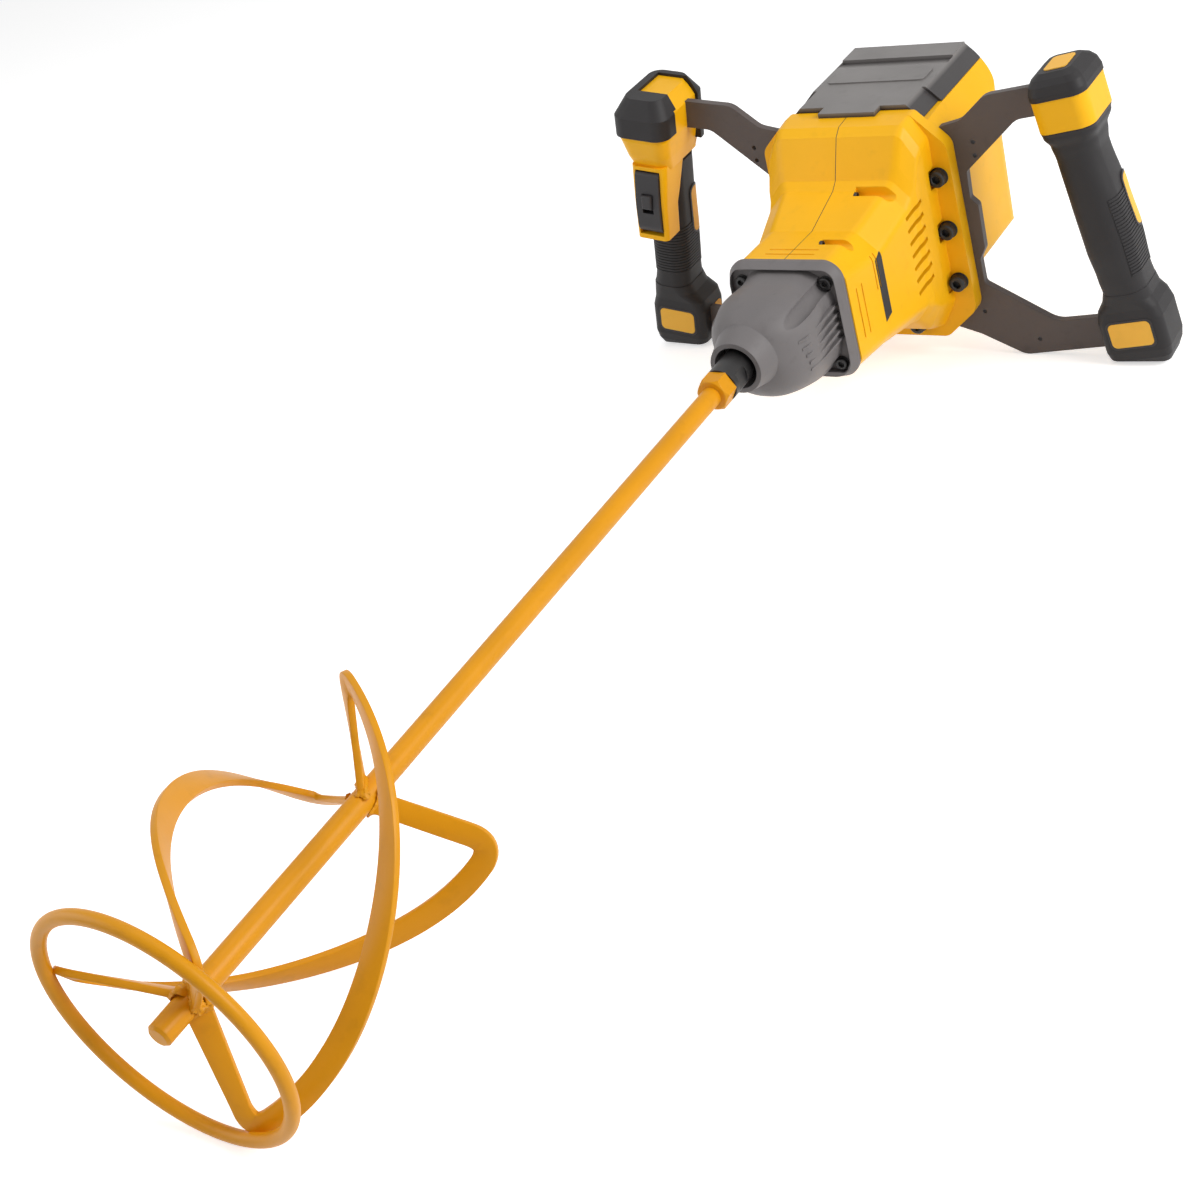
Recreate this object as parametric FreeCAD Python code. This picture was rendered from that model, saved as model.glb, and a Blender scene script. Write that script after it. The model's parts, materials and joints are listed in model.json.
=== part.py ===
import FreeCAD, Part
import math
import os

# Two-handled mixing drill with a ring paddle. Millimetres, +Z up, the spindle axis along Y.
# The model is drawn with Y = 0 on the spindle's front face and the machine behind it.
# Every piece is then shifted so that the origin lies on the axis at the tip of the paddle.

V = FreeCAD.Vector

# Fits
running_fit = 0.05        # radial gap of a shaft in its bearing
free_gap = 0.4            # gap between pieces that move past each other
screw_gap = 0.1           # radial gap of a bolt in its hole

# Paddle
paddle_length = 594.0     # tip to the seat of the hexagon
shaft_radius = 7.0
tip_chamfer = 1.5
ring_radius = 76.0        # centre line of the ring
ring_bar_radius = 4.0
blade_count = 3
blade_reach = 77.6        # outer edge of a blade at both ends
blade_bulge = 5.2         # how far the tangents of the outer edge run out at half height
blade_height = 194.0      # along the shaft, at the outer edge
blade_leg = 13.8          # width of the outer strip
blade_thickness = 4.0
blade_start = 4.0         # from the front of the ring to the lower edge of a blade
blade_mid_angle = 129.8   # of the first blade at half height, from +X towards +Z
blade_turn = 65.0         # degrees from half height to either end, were the twist even
blade_end_turn = 21.7     # degrees by which the twist quickens towards both ends
blade_low_round = 3.0
blade_top_round = 17.0
blade_edge_round = 420.0  # of the bulged outer edge
blade_sharp = 0.5         # rounding of its other corners
blade_step = 10.0         # spacing of the sections along the twist
low_arm_slant = 16.5      # climb of the lower arm towards the shaft
low_arm_root = 14.0       # its width at the shaft
low_arm_end = 10.1        # its width at the ring
low_arm_root_tilt = 48.0  # degrees by which its face leans out of the shaft's direction, at the shaft
low_arm_end_tilt = 59.0   # the same at the ring
low_arm_sweep = -7.7      # degrees by which its root leads its end
high_arm_slant = 18.6     # fall of the upper arm towards the shaft
high_arm_root = 12.2
high_arm_end = 12.9
high_arm_root_tilt = 33.4
high_arm_end_tilt = 54.6
high_arm_sweep = 4.0
arm_margin = 0.5          # from an arm's edge to the end of the outer strip
hex_across_flats = 22.0
hex_height = 13.0
stud_radius = 6.0
stud_length = 20.0

# Spindle
spindle_radius = 12.4
spindle_flats = 21.0      # across the two flats for a wrench
flats_start = 5.0
flats_length = 12.0
front_journal_radius = 10.0
gear_seat_radius = 9.0
rear_journal_radius = 6.0

# Gears
pressure_angle = 25.0
tooth_backlash = 0.12     # of the module, at the pitch circle
output_teeth = 36
output_module = 1.25
output_width = 13.0
layshaft_pinion_teeth = 12
layshaft_teeth = 42
motor_module = 0.8
motor_pinion_teeth = 12
layshaft_gear_width = 10.0
layshaft_radius = 4.0

# Gearbox
nose_y = 23.0
nose_radius = 19.5
nose_length = 17.5
nose_base_radius = 24.2
mouth_radius = 16.0
mouth_depth = 20.0
seal_width = 6.0
gearbox_wall = 3.5
gearbox_length = 64.5     # from the nose to the flange
flange_thickness = 10.0
flange_half_width = 45.5
flange_top = 35.0
flange_bottom = -58.0
flange_round = 15.0
flange_bevel = 3.0        # how much smaller its front face is all round
flange_rim = 3.5          # width of the lip round the recess in its front face
flange_recess = 5.0       # depth of that recess
cast_rib_count = 5        # on each flank of the casting
cast_rib_pitch = 6.5
cast_rib_width = 2.0
cast_rib_height = 1.0
cast_rib_top = 3.0        # height of the uppermost rib
gearbox_screw_x = 33.5
gearbox_screw_top = 20.0
gearbox_screw_bottom = -45.0
gearbox_screw_radius = 2.4
gearbox_screw_head = 4.6
gearbox_screw_height = 4.0
screw_channel_radius = 6.2
screw_boss_radius = 8.5
screw_grip = 18.0         # depth of a screw in its boss

# Bearings
front_bearing_radius = 21.0
front_bearing_width = 12.0
rear_bearing_radius = 14.0
carrier_thickness = 8.0
bush_radius = 6.5
bush_length = 6.0
motor_bearing_radius = 13.0
motor_bearing_width = 8.0
tail_bearing_radius = 11.0
tail_bearing_width = 7.0

# Motor
motor_shaft_radius = 5.0
tail_journal_radius = 4.0
stator_radius = 36.0
stator_bore = 21.0
stator_length = 52.0
rotor_gap = 0.5
fan_radius = 33.0
fan_height = 11.0
fan_blades = 11

# Front housing
housing_wall = 3.0
barrel_length = 95.0      # from the gearbox flange to the foot of the shoulder
shoulder_length = 22.0    # from the foot to the crest of the shoulder
deck_length = 14.0        # from the crest to the bolt flange
bolt_flange = 12.0
housing_top = 82.0
groove_width = 1.2        # of the lines moulded into the barrel
groove_depth = 0.8
groove_reach = 20.0       # half length of the lines across its top
shell_screw_radius = 1.5
shell_screw_head = 3.0
shell_screw_head_height = 2.2
shell_screw_grip = 12.0   # depth in the left shell
trough_radius = 4.0       # access to a shell screw from the right
vent_count = 7
vent_pitch = 10.2
vent_width = 3.2
vent_length = 21.0
vent_rise = 16.0          # degrees, towards the rear
vent_top = 24.0

# Side brackets and bolts
plate_thickness = 6.0
bolt_radius = 3.0
bolt_head_radius = 6.4
bolt_head_height = 7.0
bolt_length = 25.0
bolt_pocket = 15.0
accessory_hole_radius = 1.75
accessory_pitch = 10.6

# Rear housing, lid and battery
rear_length = 110.0       # from the front of the brackets to the back
rear_half_width = 74.5
rear_corner_round = 26.0
rear_floor = -72.0
rear_flange = 14.0
bay_half_width = 42.0
bay_length = 90.0
bay_floor = -45.0
bay_front_wall = 10.0
lid_top = 85.6
lid_half_width = 46.5
lid_skin = 3.6
lid_drop = 11.5           # how far the lid's bevelled sides reach down
lid_tab_half_width = 23.0
lid_tab_reach = 11.0
lid_rear_rise = 1.2
lid_rear_length = 24.6
lid_groove_length = 13.0  # of the slope down to the rear part's front wall
lid_groove_depth = 2.2
lid_notch_length = 31.0   # over which the bevels begin further in, at the front
lid_notch_depth = 3.0
hinge_pin_radius = 1.5
hinge_barrel_radius = 3.2
hinge_half_length = 42.0
hinge_knuckle = 12.0

# Handles
handle_x = 181.0          # axis of a handle at the height of the spindle
handle_splay = 9.7        # degrees, lower end outwards
core_radius = 8.0
core_half_length = 100.0
grip_low = -62.0
grip_high = 71.0
grip_shift = 3.5          # the grip's middle lies outside the core's axis
band_height = 24.0
cap_height = 17.0
foot_height = 63.0
left_foot_inset = 3.0     # the left foot stands nearer the machine
foot_shift = 3.5          # the foot stands a little behind the bracket's middle
handle_rest = -119.0      # level of the flat underside of both feet
pad_thickness = 1.4
pad_proud = 0.6

# Trigger and its housing on the left handle
head_low = 56.0
head_top = 111.0
head_shift = -9.0         # the housing's middle lies in front of the core's axis
head_half_x = 21.5
head_half_y = 34.0
crown_half_x = 14.0       # of its flat top
crown_half_y = 25.0
bumper_low = 84.0         # lower edge of the bumper in front and at the sides
bumper_rear = 62.0        # its lower edge at the back
bumper_proud = 2.5        # how far it stands off the housing
trigger_half_width = 10.6
trigger_low = -2.0
trigger_high = 52.0
trigger_front = -41.0
trigger_back = -27.0
trigger_room = 8.0        # behind the trigger, for its travel
trigger_pin_radius = 2.0
lock_half_width = 4.5
lock_height = 12.0
lock_reach = 2.2
lock_travel = 4.0

# Places along the axis that follow from the sizes above
nose_back = nose_y + nose_length
flange_y = nose_back + gearbox_length
housing_y = flange_y + flange_thickness
shoulder_y = housing_y + barrel_length
crest_y = shoulder_y + shoulder_length
bolt_face_y = crest_y + deck_length
plate_y = bolt_face_y + bolt_flange
rear_y = plate_y + plate_thickness
back_y = plate_y + rear_length
handle_y = plate_y + plate_thickness / 2
handle_tilt = math.tan(math.radians(handle_splay))


# Drawing helpers

def cylinder(radius, y_start, y_end, x=0.0, z=0.0):
    """Cylinder along Y between two stations."""
    return Part.makeCylinder(radius, y_end - y_start, V(x, y_start, z), V(0, 1, 0))


def tube(outer, inner, y_start, y_end, x=0.0, z=0.0):
    """Ring along Y."""
    return cylinder(outer, y_start, y_end, x, z).cut(cylinder(inner, y_start, y_end, x, z))


def box(x_low, x_high, y_low, y_high, z_low, z_high):
    """Box between two corners."""
    return Part.makeBox(x_high - x_low, y_high - y_low, z_high - z_low, V(x_low, y_low, z_low))


def both_sides(points):
    """The points and their mirror images across the plane X = 0."""
    return [(side * x, z) for x, z in points for side in (1, -1)]


def rounded_wire(corners, to_space):
    """Closed wire through corners (a, b, radius), each rounded by its own radius."""
    edges = []
    ends = []
    for i, (a, b, radius) in enumerate(corners):
        here = V(a, b, 0)
        before = V(corners[i - 1][0], corners[i - 1][1], 0)
        after = V(corners[(i + 1) % len(corners)][0], corners[(i + 1) % len(corners)][1], 0)
        to_before = (before - here).normalize()
        to_after = (after - here).normalize()
        half = to_before.getAngle(to_after) / 2
        reach = radius / math.tan(half)
        bisector = (to_before + to_after).normalize()
        middle = here + bisector * (radius / math.sin(half) - radius)
        ends.append((here + to_before * reach, middle, here + to_after * reach))
    for i, (start, middle, stop) in enumerate(ends):
        following = ends[(i + 1) % len(ends)][0]
        points = [to_space(p.x, p.y) for p in (start, middle, stop)]
        edges.append(Part.Arc(*points).toShape())
        if (following - stop).Length > 1e-6:
            edges.append(Part.makeLine(points[2], to_space(following.x, following.y)))
    return Part.Wire(edges)


def section(corners, y):
    """Rounded outline in the plane Y = y from corners (x, z, radius)."""
    return rounded_wire(corners, lambda a, b: V(a, y, b))


def level(half_x, half_y, radius, z, y_shift=0.0, x_shift=0.0):
    """Rounded rectangle in the level plane Z = z."""
    corners = [(half_x, half_y, radius), (half_x, -half_y, radius),
               (-half_x, -half_y, radius), (-half_x, half_y, radius)]
    return rounded_wire(corners, lambda a, b: V(a + x_shift, b + y_shift, z))


def plate(corners, y_start, y_end):
    """Flat plate of a rounded outline between two stations along Y."""
    return Part.Face(section(corners, y_start)).extrude(V(0, y_end - y_start, 0))


def whole(half):
    """Outline that is alike on both sides, from its right half given from top to bottom."""
    return half + [(-x, z, r) for x, z, r in reversed(half)]


def inset(corners, wall):
    """Outline moved inwards by a wall, for outlines that run clockwise with Z up."""
    moved = []
    for i, (x, z, radius) in enumerate(corners):
        into = V(x - corners[i - 1][0], z - corners[i - 1][1], 0).normalize()
        out = V(corners[(i + 1) % len(corners)][0] - x, corners[(i + 1) % len(corners)][1] - z, 0).normalize()
        first = V(into.y, -into.x, 0)
        second = V(out.y, -out.x, 0)
        shift = (first + second) * (wall / (1 + first.dot(second)))
        moved.append((x + shift.x, z + shift.y, max(radius - wall, 1.0)))
    return moved


def hull(stations, smooth=False):
    """Solid through outlines (y, corners)."""
    return Part.makeLoft([section(corners, y) for y, corners in stations], True, not smooth)


def stack(levels, smooth=False):
    """Upright solid through level outlines."""
    return Part.makeLoft([level(*one) for one in levels], True, not smooth)


def cut_all(shape, tools):
    """Shape less each of the tools."""
    for tool in tools:
        shape = shape.cut(tool)
    return shape


def fuse_all(shapes):
    """One solid from touching shapes."""
    joined = shapes[0]
    for other in shapes[1:]:
        joined = joined.fuse(other)
    return joined.removeSplitter()


# Gear geometry

def gear(teeth, module, width, y_start, z_axis, tooth_angle):
    """Spur gear along Y with one tooth centred on tooth_angle (radians from +X towards +Z)."""
    pitch_radius = teeth * module / 2
    base_radius = pitch_radius * math.cos(math.radians(pressure_angle))
    tip_radius = pitch_radius + module
    root_radius = pitch_radius - 1.2 * module
    half_pitch = math.pi / (2 * teeth) - tooth_backlash * module / (2 * pitch_radius)

    def involute(radius):
        angle = math.acos(min(base_radius / radius, 1.0))
        return math.tan(angle) - angle

    def half_width(radius):
        return half_pitch + involute(pitch_radius) - involute(max(radius, base_radius))

    def point(radius, angle):
        return V(radius * math.cos(angle), y_start, z_axis + radius * math.sin(angle))

    flank_start = max(base_radius, root_radius)
    flank_middle = (flank_start + tip_radius) / 2
    edges = []
    step = 2 * math.pi / teeth
    for i in range(teeth):
        centre = tooth_angle + i * step
        foot_in = point(root_radius, centre - half_width(flank_start))
        foot_out = point(root_radius, centre + half_width(flank_start))
        next_foot = point(root_radius, centre + step - half_width(flank_start))
        rise = [point(r, centre - half_width(r)) for r in (flank_start, flank_middle, tip_radius)]
        fall = [point(r, centre + half_width(r)) for r in (tip_radius, flank_middle, flank_start)]
        if flank_start > root_radius:
            edges.append(Part.makeLine(foot_in, rise[0]))
        edges.append(Part.Arc(*rise).toShape())
        edges.append(Part.makeLine(rise[2], fall[0]))
        edges.append(Part.Arc(*fall).toShape())
        if flank_start > root_radius:
            edges.append(Part.makeLine(fall[2], foot_out))
        edges.append(Part.makeLine(foot_out, next_foot))
    return Part.Face(Part.Wire(edges)).extrude(V(0, width, 0))


up = math.pi / 2
down = -math.pi / 2
layshaft_z = -(output_teeth + layshaft_pinion_teeth) * output_module / 2
motor_z = layshaft_z + (layshaft_teeth + motor_pinion_teeth) * motor_module / 2

# Places inside the gearbox, from the mouth backwards
seal_y = nose_y + mouth_depth - seal_width
lip_y = nose_y + mouth_depth
front_bearing_y = lip_y + 2.0
front_wall_y = front_bearing_y + front_bearing_width
output_y = front_wall_y + 3.0
carrier_y = output_y + output_width + 3.0
carrier_back = carrier_y + carrier_thickness
layshaft_gear_y = carrier_back + 3.0
gear_plate_y = flange_y
motor_front_y = layshaft_gear_y - 1.0

parts = {}


# Paddle

def spread(low, high, spacing):
    """Even steps from low to high, no longer than the spacing."""
    count = max(1, math.ceil((high - low) / spacing))
    return [low + (high - low) * i / count for i in range(count + 1)]


def blade_angle(y):
    """Direction of a blade from the shaft at a height above its lower edge."""
    share = 2 * y / blade_height - 1
    return math.radians(blade_mid_angle + blade_turn * share + blade_end_turn * share ** 3)


def arm_end(radius, y, width, tilt, turn):
    """Middle of an arm's end, and half its width and half its thickness as vectors."""
    along = V(math.cos(turn), 0, math.sin(turn))
    sideways = V(-along.z, 0, along.x)
    lean = math.radians(tilt)
    wide = (V(0, 1, 0) * math.cos(lean) + sideways * math.sin(lean)) * (width / 2)
    thick = (sideways * math.cos(lean) - V(0, 1, 0) * math.sin(lean)) * (blade_thickness / 2)
    return along * radius + V(0, y, 0), wide, thick


def blade_arm(root, end):
    """Straight bar between two ends, its face leaning like the strip's."""
    wires = []
    for middle, wide, thick in (root, end):
        corners = [middle - wide - thick, middle + wide - thick, middle + wide + thick, middle - wide + thick]
        wires.append(Part.makePolygon(corners + corners[:1]))
    return Part.makeLoft(wires, True, True)


def beyond_arm(end):
    """Block above the upper edge of an arm's end, where the strip stops."""
    middle, wide, thick = end
    upwards = wide * (2 / wide.Length)
    across = thick * (blade_leg / thick.Length)
    along = V(upwards).cross(across).normalize() * (2 * blade_leg)
    edge = middle + wide
    corners = [edge - along - across, edge + along - across, edge + along + across, edge - along + across]
    return Part.Face(Part.makePolygon(corners + corners[:1])).extrude(upwards * blade_leg)


def blade_envelope(reach, low_round, high_round):
    """Body turned round the shaft, its rim bulged between both ends."""
    core = shaft_radius / 2
    outline = [(core, 0.0, blade_sharp), (reach, 0.0, low_round),
               (reach + blade_bulge, blade_height / 2, blade_edge_round), (reach, blade_height, high_round),
               (core, blade_height, blade_sharp)]
    return Part.Face(rounded_wire(outline, lambda a, b: V(a, b, 0))).revolve(V(0, 0, 0), V(0, 1, 0), 360)


def blade():
    """Twisted outer strip, trimmed by its outline turned round the shaft, on two straight arms."""
    leg_inner = blade_reach - blade_leg
    sections = []
    for y in spread(0.0, blade_height, blade_step):
        along = V(math.cos(blade_angle(y)), 0, math.sin(blade_angle(y)))
        across = V(-along.z, 0, along.x) * (blade_thickness / 2)
        near = V(0, y, 0) + along * (leg_inner - blade_leg)
        far = V(0, y, 0) + along * (blade_reach + blade_bulge)
        corners = [near - across, far - across, far + across, near + across]
        sections.append(Part.makePolygon(corners + corners[:1]))
    slab = Part.makeLoft(sections, True, False)
    outer = blade_envelope(blade_reach, blade_low_round, blade_top_round)
    inner = blade_envelope(leg_inner, blade_sharp, blade_sharp)
    strip = slab.common(outer).cut(inner)
    low_y = low_arm_end / 2 + arm_margin
    low_turn = blade_angle(low_y)
    low_root = arm_end(shaft_radius / 2, low_y + low_arm_slant, low_arm_root, low_arm_root_tilt,
                       low_turn + math.radians(low_arm_sweep))
    low_tip = arm_end(blade_reach - blade_low_round, low_y, low_arm_end, low_arm_end_tilt, low_turn)
    high_y = blade_height - high_arm_end / 2 - arm_margin
    high_turn = blade_angle(high_y)
    high_root = arm_end(shaft_radius / 2, high_y - high_arm_slant, high_arm_root, high_arm_root_tilt,
                        high_turn + math.radians(high_arm_sweep))
    high_reach = blade_reach - 0.6 * blade_top_round
    high_tip = arm_end(high_reach, high_y, high_arm_end, high_arm_end_tilt, high_turn)
    strip = strip.cut(beyond_arm(high_tip))
    return fuse_all([strip, blade_arm(low_root, low_tip), blade_arm(high_root, high_tip)])


def paddle():
    """Shaft with its hexagon and stud, the twisted blades and the ring."""
    tip = -paddle_length
    shaft = cylinder(shaft_radius, tip, 0)
    shaft = shaft.makeChamfer(tip_chamfer, [e for e in shaft.Edges if e.BoundBox.YMax < tip + tip_chamfer])
    hexagon = [V(hex_across_flats / math.sqrt(3) * math.cos(math.radians(60 * i)), -hex_height,
                 hex_across_flats / math.sqrt(3) * math.sin(math.radians(60 * i))) for i in range(7)]
    collar = Part.Face(Part.makePolygon(hexagon)).extrude(V(0, hex_height, 0))
    rounding = Part.makeCone(hex_across_flats / 2 - 0.5, hex_across_flats / 2 + hex_height - 0.5, hex_height,
                             V(0, -hex_height, 0), V(0, 1, 0))
    stud = cylinder(stud_radius, 0, stud_length)
    parts["paddle_shaft"] = fuse_all([shaft, collar.common(rounding), stud])
    ring = Part.makeTorus(ring_radius, ring_bar_radius, V(0, tip + ring_bar_radius, 0), V(0, 1, 0))
    parts["paddle_ring"] = ring
    first = blade()
    first.translate(V(0, tip + blade_start, 0))
    first = cut_all(first, [ring, cylinder(shaft_radius, tip, 0)])
    for i in range(blade_count):
        one = first.copy()
        one.rotate(V(0, 0, 0), V(0, 1, 0), 360.0 / blade_count * i)
        parts["paddle_blade_%d" % (i + 1)] = one


# Output spindle and the two gear stages

def spindle_and_gears():
    """Spindle with the output gear, and the layshaft with its pinion and wheel."""
    neck = cylinder(spindle_radius, 0, front_bearing_y)
    for side in (1, -1):
        near = side * spindle_flats / 2
        far = side * 2 * spindle_radius
        neck = neck.cut(box(min(near, far), max(near, far), flats_start, flats_start + flats_length,
                            -spindle_radius, spindle_radius))
    journal = cylinder(front_journal_radius - running_fit, front_bearing_y, output_y)
    seat = cylinder(gear_seat_radius, output_y, carrier_y)
    tail = cylinder(rear_journal_radius - running_fit, carrier_y, carrier_back)
    spindle = fuse_all([neck, journal, seat, tail])
    parts["spindle"] = spindle.cut(cylinder(stud_radius, 0, stud_length + 3))
    wheel = gear(output_teeth, output_module, output_width, output_y, 0, down)
    parts["output_gear"] = wheel.cut(cylinder(gear_seat_radius, output_y, carrier_y))

    pinion = gear(layshaft_pinion_teeth, output_module, output_width + 2, output_y - 1, layshaft_z,
                  up + math.pi / layshaft_pinion_teeth)
    bush_front = front_wall_y - bush_length
    rod = cylinder(layshaft_radius - running_fit, bush_front, gear_plate_y + bush_length, 0, layshaft_z)
    collar = cylinder(layshaft_radius + 1, output_y + output_width, layshaft_gear_y, 0, layshaft_z)
    parts["layshaft"] = fuse_all([rod, pinion, collar])
    wheel = gear(layshaft_teeth, motor_module, layshaft_gear_width, layshaft_gear_y, layshaft_z, up)
    parts["layshaft_gear"] = wheel.cut(cylinder(layshaft_radius - running_fit, layshaft_gear_y,
                                                layshaft_gear_y + layshaft_gear_width, 0, layshaft_z))


# Gearbox

def gearbox_outline(half_width, top, bottom, top_round, bottom_round):
    """Outline of the casting with shoulders above and a rounder belly below."""
    return whole([(half_width, top, top_round), (half_width, bottom, bottom_round)])


gearbox_screw_places = both_sides([(gearbox_screw_x, gearbox_screw_top),
                                   (gearbox_screw_x, gearbox_screw_bottom)])
flange_back = gearbox_outline(flange_half_width, flange_top, flange_bottom, flange_round, flange_round)
flange_front = gearbox_outline(flange_half_width - flange_bevel, flange_top - flange_bevel,
                               flange_bottom + flange_bevel, flange_round, flange_round)
screw_seat_y = flange_y + flange_recess
gearbox_foot = gearbox_outline(38.2, 30.0, flange_bottom + 4, 26.0, 34.0)
nose_section = nose_base_radius - 1
gearbox_stations = [(nose_back - 1, gearbox_outline(nose_section, nose_section, -nose_section,
                                                    nose_section - 1, nose_section - 1)),
                    (nose_back + 7, gearbox_outline(30.0, 26.5, -36.5, 23.0, 28.0)),
                    (nose_back + 20, gearbox_outline(36.5, 29.5, -45.0, 26.0, 35.0)),
                    (nose_back + 40, gearbox_outline(38.0, 29.8, -51.6, 26.0, 35.0)),
                    (screw_seat_y, gearbox_foot)]
recess_outline = gearbox_outline(flange_half_width - flange_rim, flange_top - flange_rim,
                                 flange_bottom + 2 * flange_rim, flange_round - flange_rim,
                                 flange_round - flange_rim)


def cast_ribs():
    """Low ribs along both flanks of the casting."""
    grown = hull([(y, inset(corners, -cast_rib_height)) for y, corners in gearbox_stations[1:]])
    ribs = []
    for i in range(cast_rib_count):
        z = cast_rib_top - cast_rib_pitch * i
        for side in (1, -1):
            low, high = sorted((side * flange_half_width / 2, side * flange_half_width))
            ribs.append(box(low, high, nose_back + 14 + 2 * i, screw_seat_y, z - cast_rib_width / 2,
                            z + cast_rib_width / 2).common(grown))
    return ribs


def gearbox():
    """Cast gearbox with its nose, screw channels and flange, and all that sits in it."""
    flange = hull([(flange_y, flange_front), (housing_y - flange_bevel, flange_back),
                   (housing_y, flange_back)])
    nose = Part.makeCone(nose_radius, nose_base_radius, nose_length, V(0, nose_y, 0), V(0, 1, 0))
    flange = flange.cut(plate(recess_outline, flange_y - 1, screw_seat_y))
    dome = hull(gearbox_stations, True)
    body = fuse_all([nose, dome, flange] + cast_ribs())

    # Chamber behind the front wall, less a pillar round every screw channel
    slope = hull([(y, inset(corners, gearbox_wall)) for y, corners in gearbox_stations[1:]])
    chamber = slope.common(box(-100, 100, front_wall_y, screw_seat_y, -100, 100))
    chamber = chamber.fuse(plate(inset(gearbox_foot, gearbox_wall), screw_seat_y, housing_y))
    pillars = [cylinder(screw_channel_radius + 2.5, nose_y, housing_y, x, z) for x, z in gearbox_screw_places]
    chamber = cut_all(chamber, pillars).removeSplitter()

    bush_front = front_wall_y - bush_length
    hollows = [chamber,
               cylinder(mouth_radius, nose_y, lip_y),
               cylinder(spindle_radius + 1, lip_y, front_bearing_y),
               cylinder(front_bearing_radius, front_bearing_y, front_wall_y),
               cylinder(bush_radius, bush_front, front_wall_y, 0, layshaft_z)]
    for x, z in gearbox_screw_places:
        hollows.append(cylinder(screw_channel_radius, nose_y, screw_seat_y, x, z))
        hollows.append(cylinder(gearbox_screw_radius + screw_gap, screw_seat_y, housing_y, x, z))
    parts["gearbox_housing"] = cut_all(body, hollows)

    screws = []
    for x, z in gearbox_screw_places:
        head = cylinder(gearbox_screw_head, screw_seat_y - gearbox_screw_height, screw_seat_y, x, z)
        socket = cylinder(gearbox_screw_radius, screw_seat_y - gearbox_screw_height,
                          screw_seat_y - gearbox_screw_height / 2, x, z)
        shank = cylinder(gearbox_screw_radius, screw_seat_y, housing_y + screw_grip, x, z)
        screws.append(head.cut(socket).fuse(shank))
    parts["gearbox_screws"] = Part.makeCompound(screws)

    carrier = chamber.common(box(-100, 100, carrier_y, carrier_back, -100, 100))
    carrier_bores = [cylinder(rear_bearing_radius, carrier_y, carrier_back),
                     cylinder(layshaft_radius + 2, carrier_y, carrier_back, 0, layshaft_z)]
    parts["gear_carrier"] = cut_all(carrier, carrier_bores)
    cover = chamber.common(box(-100, 100, gear_plate_y, housing_y, -100, 100))
    bearing_end = gear_plate_y + motor_bearing_width
    bush_end = gear_plate_y + bush_length
    cover_bores = [cylinder(motor_bearing_radius, gear_plate_y, bearing_end, 0, motor_z),
                   cylinder(motor_shaft_radius + 1, gear_plate_y, housing_y, 0, motor_z),
                   cylinder(bush_radius, gear_plate_y, bush_end, 0, layshaft_z)]
    parts["gear_plate"] = cut_all(cover, cover_bores)

    parts["spindle_seal"] = tube(mouth_radius, spindle_radius + running_fit, seal_y, lip_y)
    parts["spindle_front_bearing"] = tube(front_bearing_radius, front_journal_radius, front_bearing_y,
                                          front_wall_y)
    parts["spindle_rear_bearing"] = tube(rear_bearing_radius, rear_journal_radius, carrier_y, carrier_back)
    parts["layshaft_front_bush"] = tube(bush_radius, layshaft_radius, bush_front, front_wall_y, 0, layshaft_z)
    parts["layshaft_rear_bush"] = tube(bush_radius, layshaft_radius, gear_plate_y, bush_end, 0, layshaft_z)
    parts["motor_front_bearing"] = tube(motor_bearing_radius, motor_shaft_radius, gear_plate_y, bearing_end,
                                        0, motor_z)


# Motor

stator_y = housing_y + 26.0
fan_y = stator_y + stator_length + 12.0
tail_bearing_y = fan_y + fan_height + 6.0
tail_bearing_end = tail_bearing_y + tail_bearing_width


def motor():
    """Stator in the housing, and the rotor with its pinion, shaft and fan."""
    parts["stator"] = tube(stator_radius, stator_bore, stator_y, stator_y + stator_length, 0, motor_z)
    shaft = cylinder(motor_shaft_radius - running_fit, motor_front_y + layshaft_gear_width + 2,
                     tail_bearing_y, 0, motor_z)
    tail = cylinder(tail_journal_radius - running_fit, tail_bearing_y, tail_bearing_end, 0, motor_z)
    pinion = gear(motor_pinion_teeth, motor_module, layshaft_gear_width + 2, motor_front_y, motor_z,
                  down + math.pi / motor_pinion_teeth)
    parts["motor_shaft"] = fuse_all([shaft, tail, pinion])
    inner = motor_shaft_radius - running_fit
    parts["rotor"] = tube(stator_bore - rotor_gap, inner, stator_y - 2, stator_y + stator_length + 2,
                          0, motor_z)

    hub = cylinder(2 * motor_shaft_radius, fan_y, fan_y + fan_height, 0, motor_z)
    disc = cylinder(fan_radius, fan_y + fan_height - 2, fan_y + fan_height, 0, motor_z)
    vane = box(2 * motor_shaft_radius - 1, fan_radius, fan_y, fan_y + fan_height, -1, 1)
    pieces = [hub, disc]
    for i in range(fan_blades):
        one = vane.copy()
        one.rotate(V(0, 0, 0), V(0, 1, 0), 360.0 / fan_blades * i)
        one.translate(V(0, 0, motor_z))
        pieces.append(one)
    fan = fuse_all(pieces)
    parts["cooling_fan"] = fan.cut(cylinder(inner, fan_y, fan_y + fan_height, 0, motor_z))
    parts["motor_tail_bearing"] = tube(tail_bearing_radius, tail_journal_radius, tail_bearing_y,
                                       tail_bearing_end, 0, motor_z)


# Outline shared by the bolt flange, the brackets' web and the rear housing
bolt_flange_outline = whole([(51.0, housing_top, 5.0), (75.5, 57.5, 12.0), (78.5, -78.0, 12.0),
                             (52.0, -102.0, 10.0)])
side_bolts = both_sides([(66.0, 33.5), (66.5, -9.5), (68.5, -53.0)])
bottom_bolts = both_sides([(29.0, -91.0)])

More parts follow.
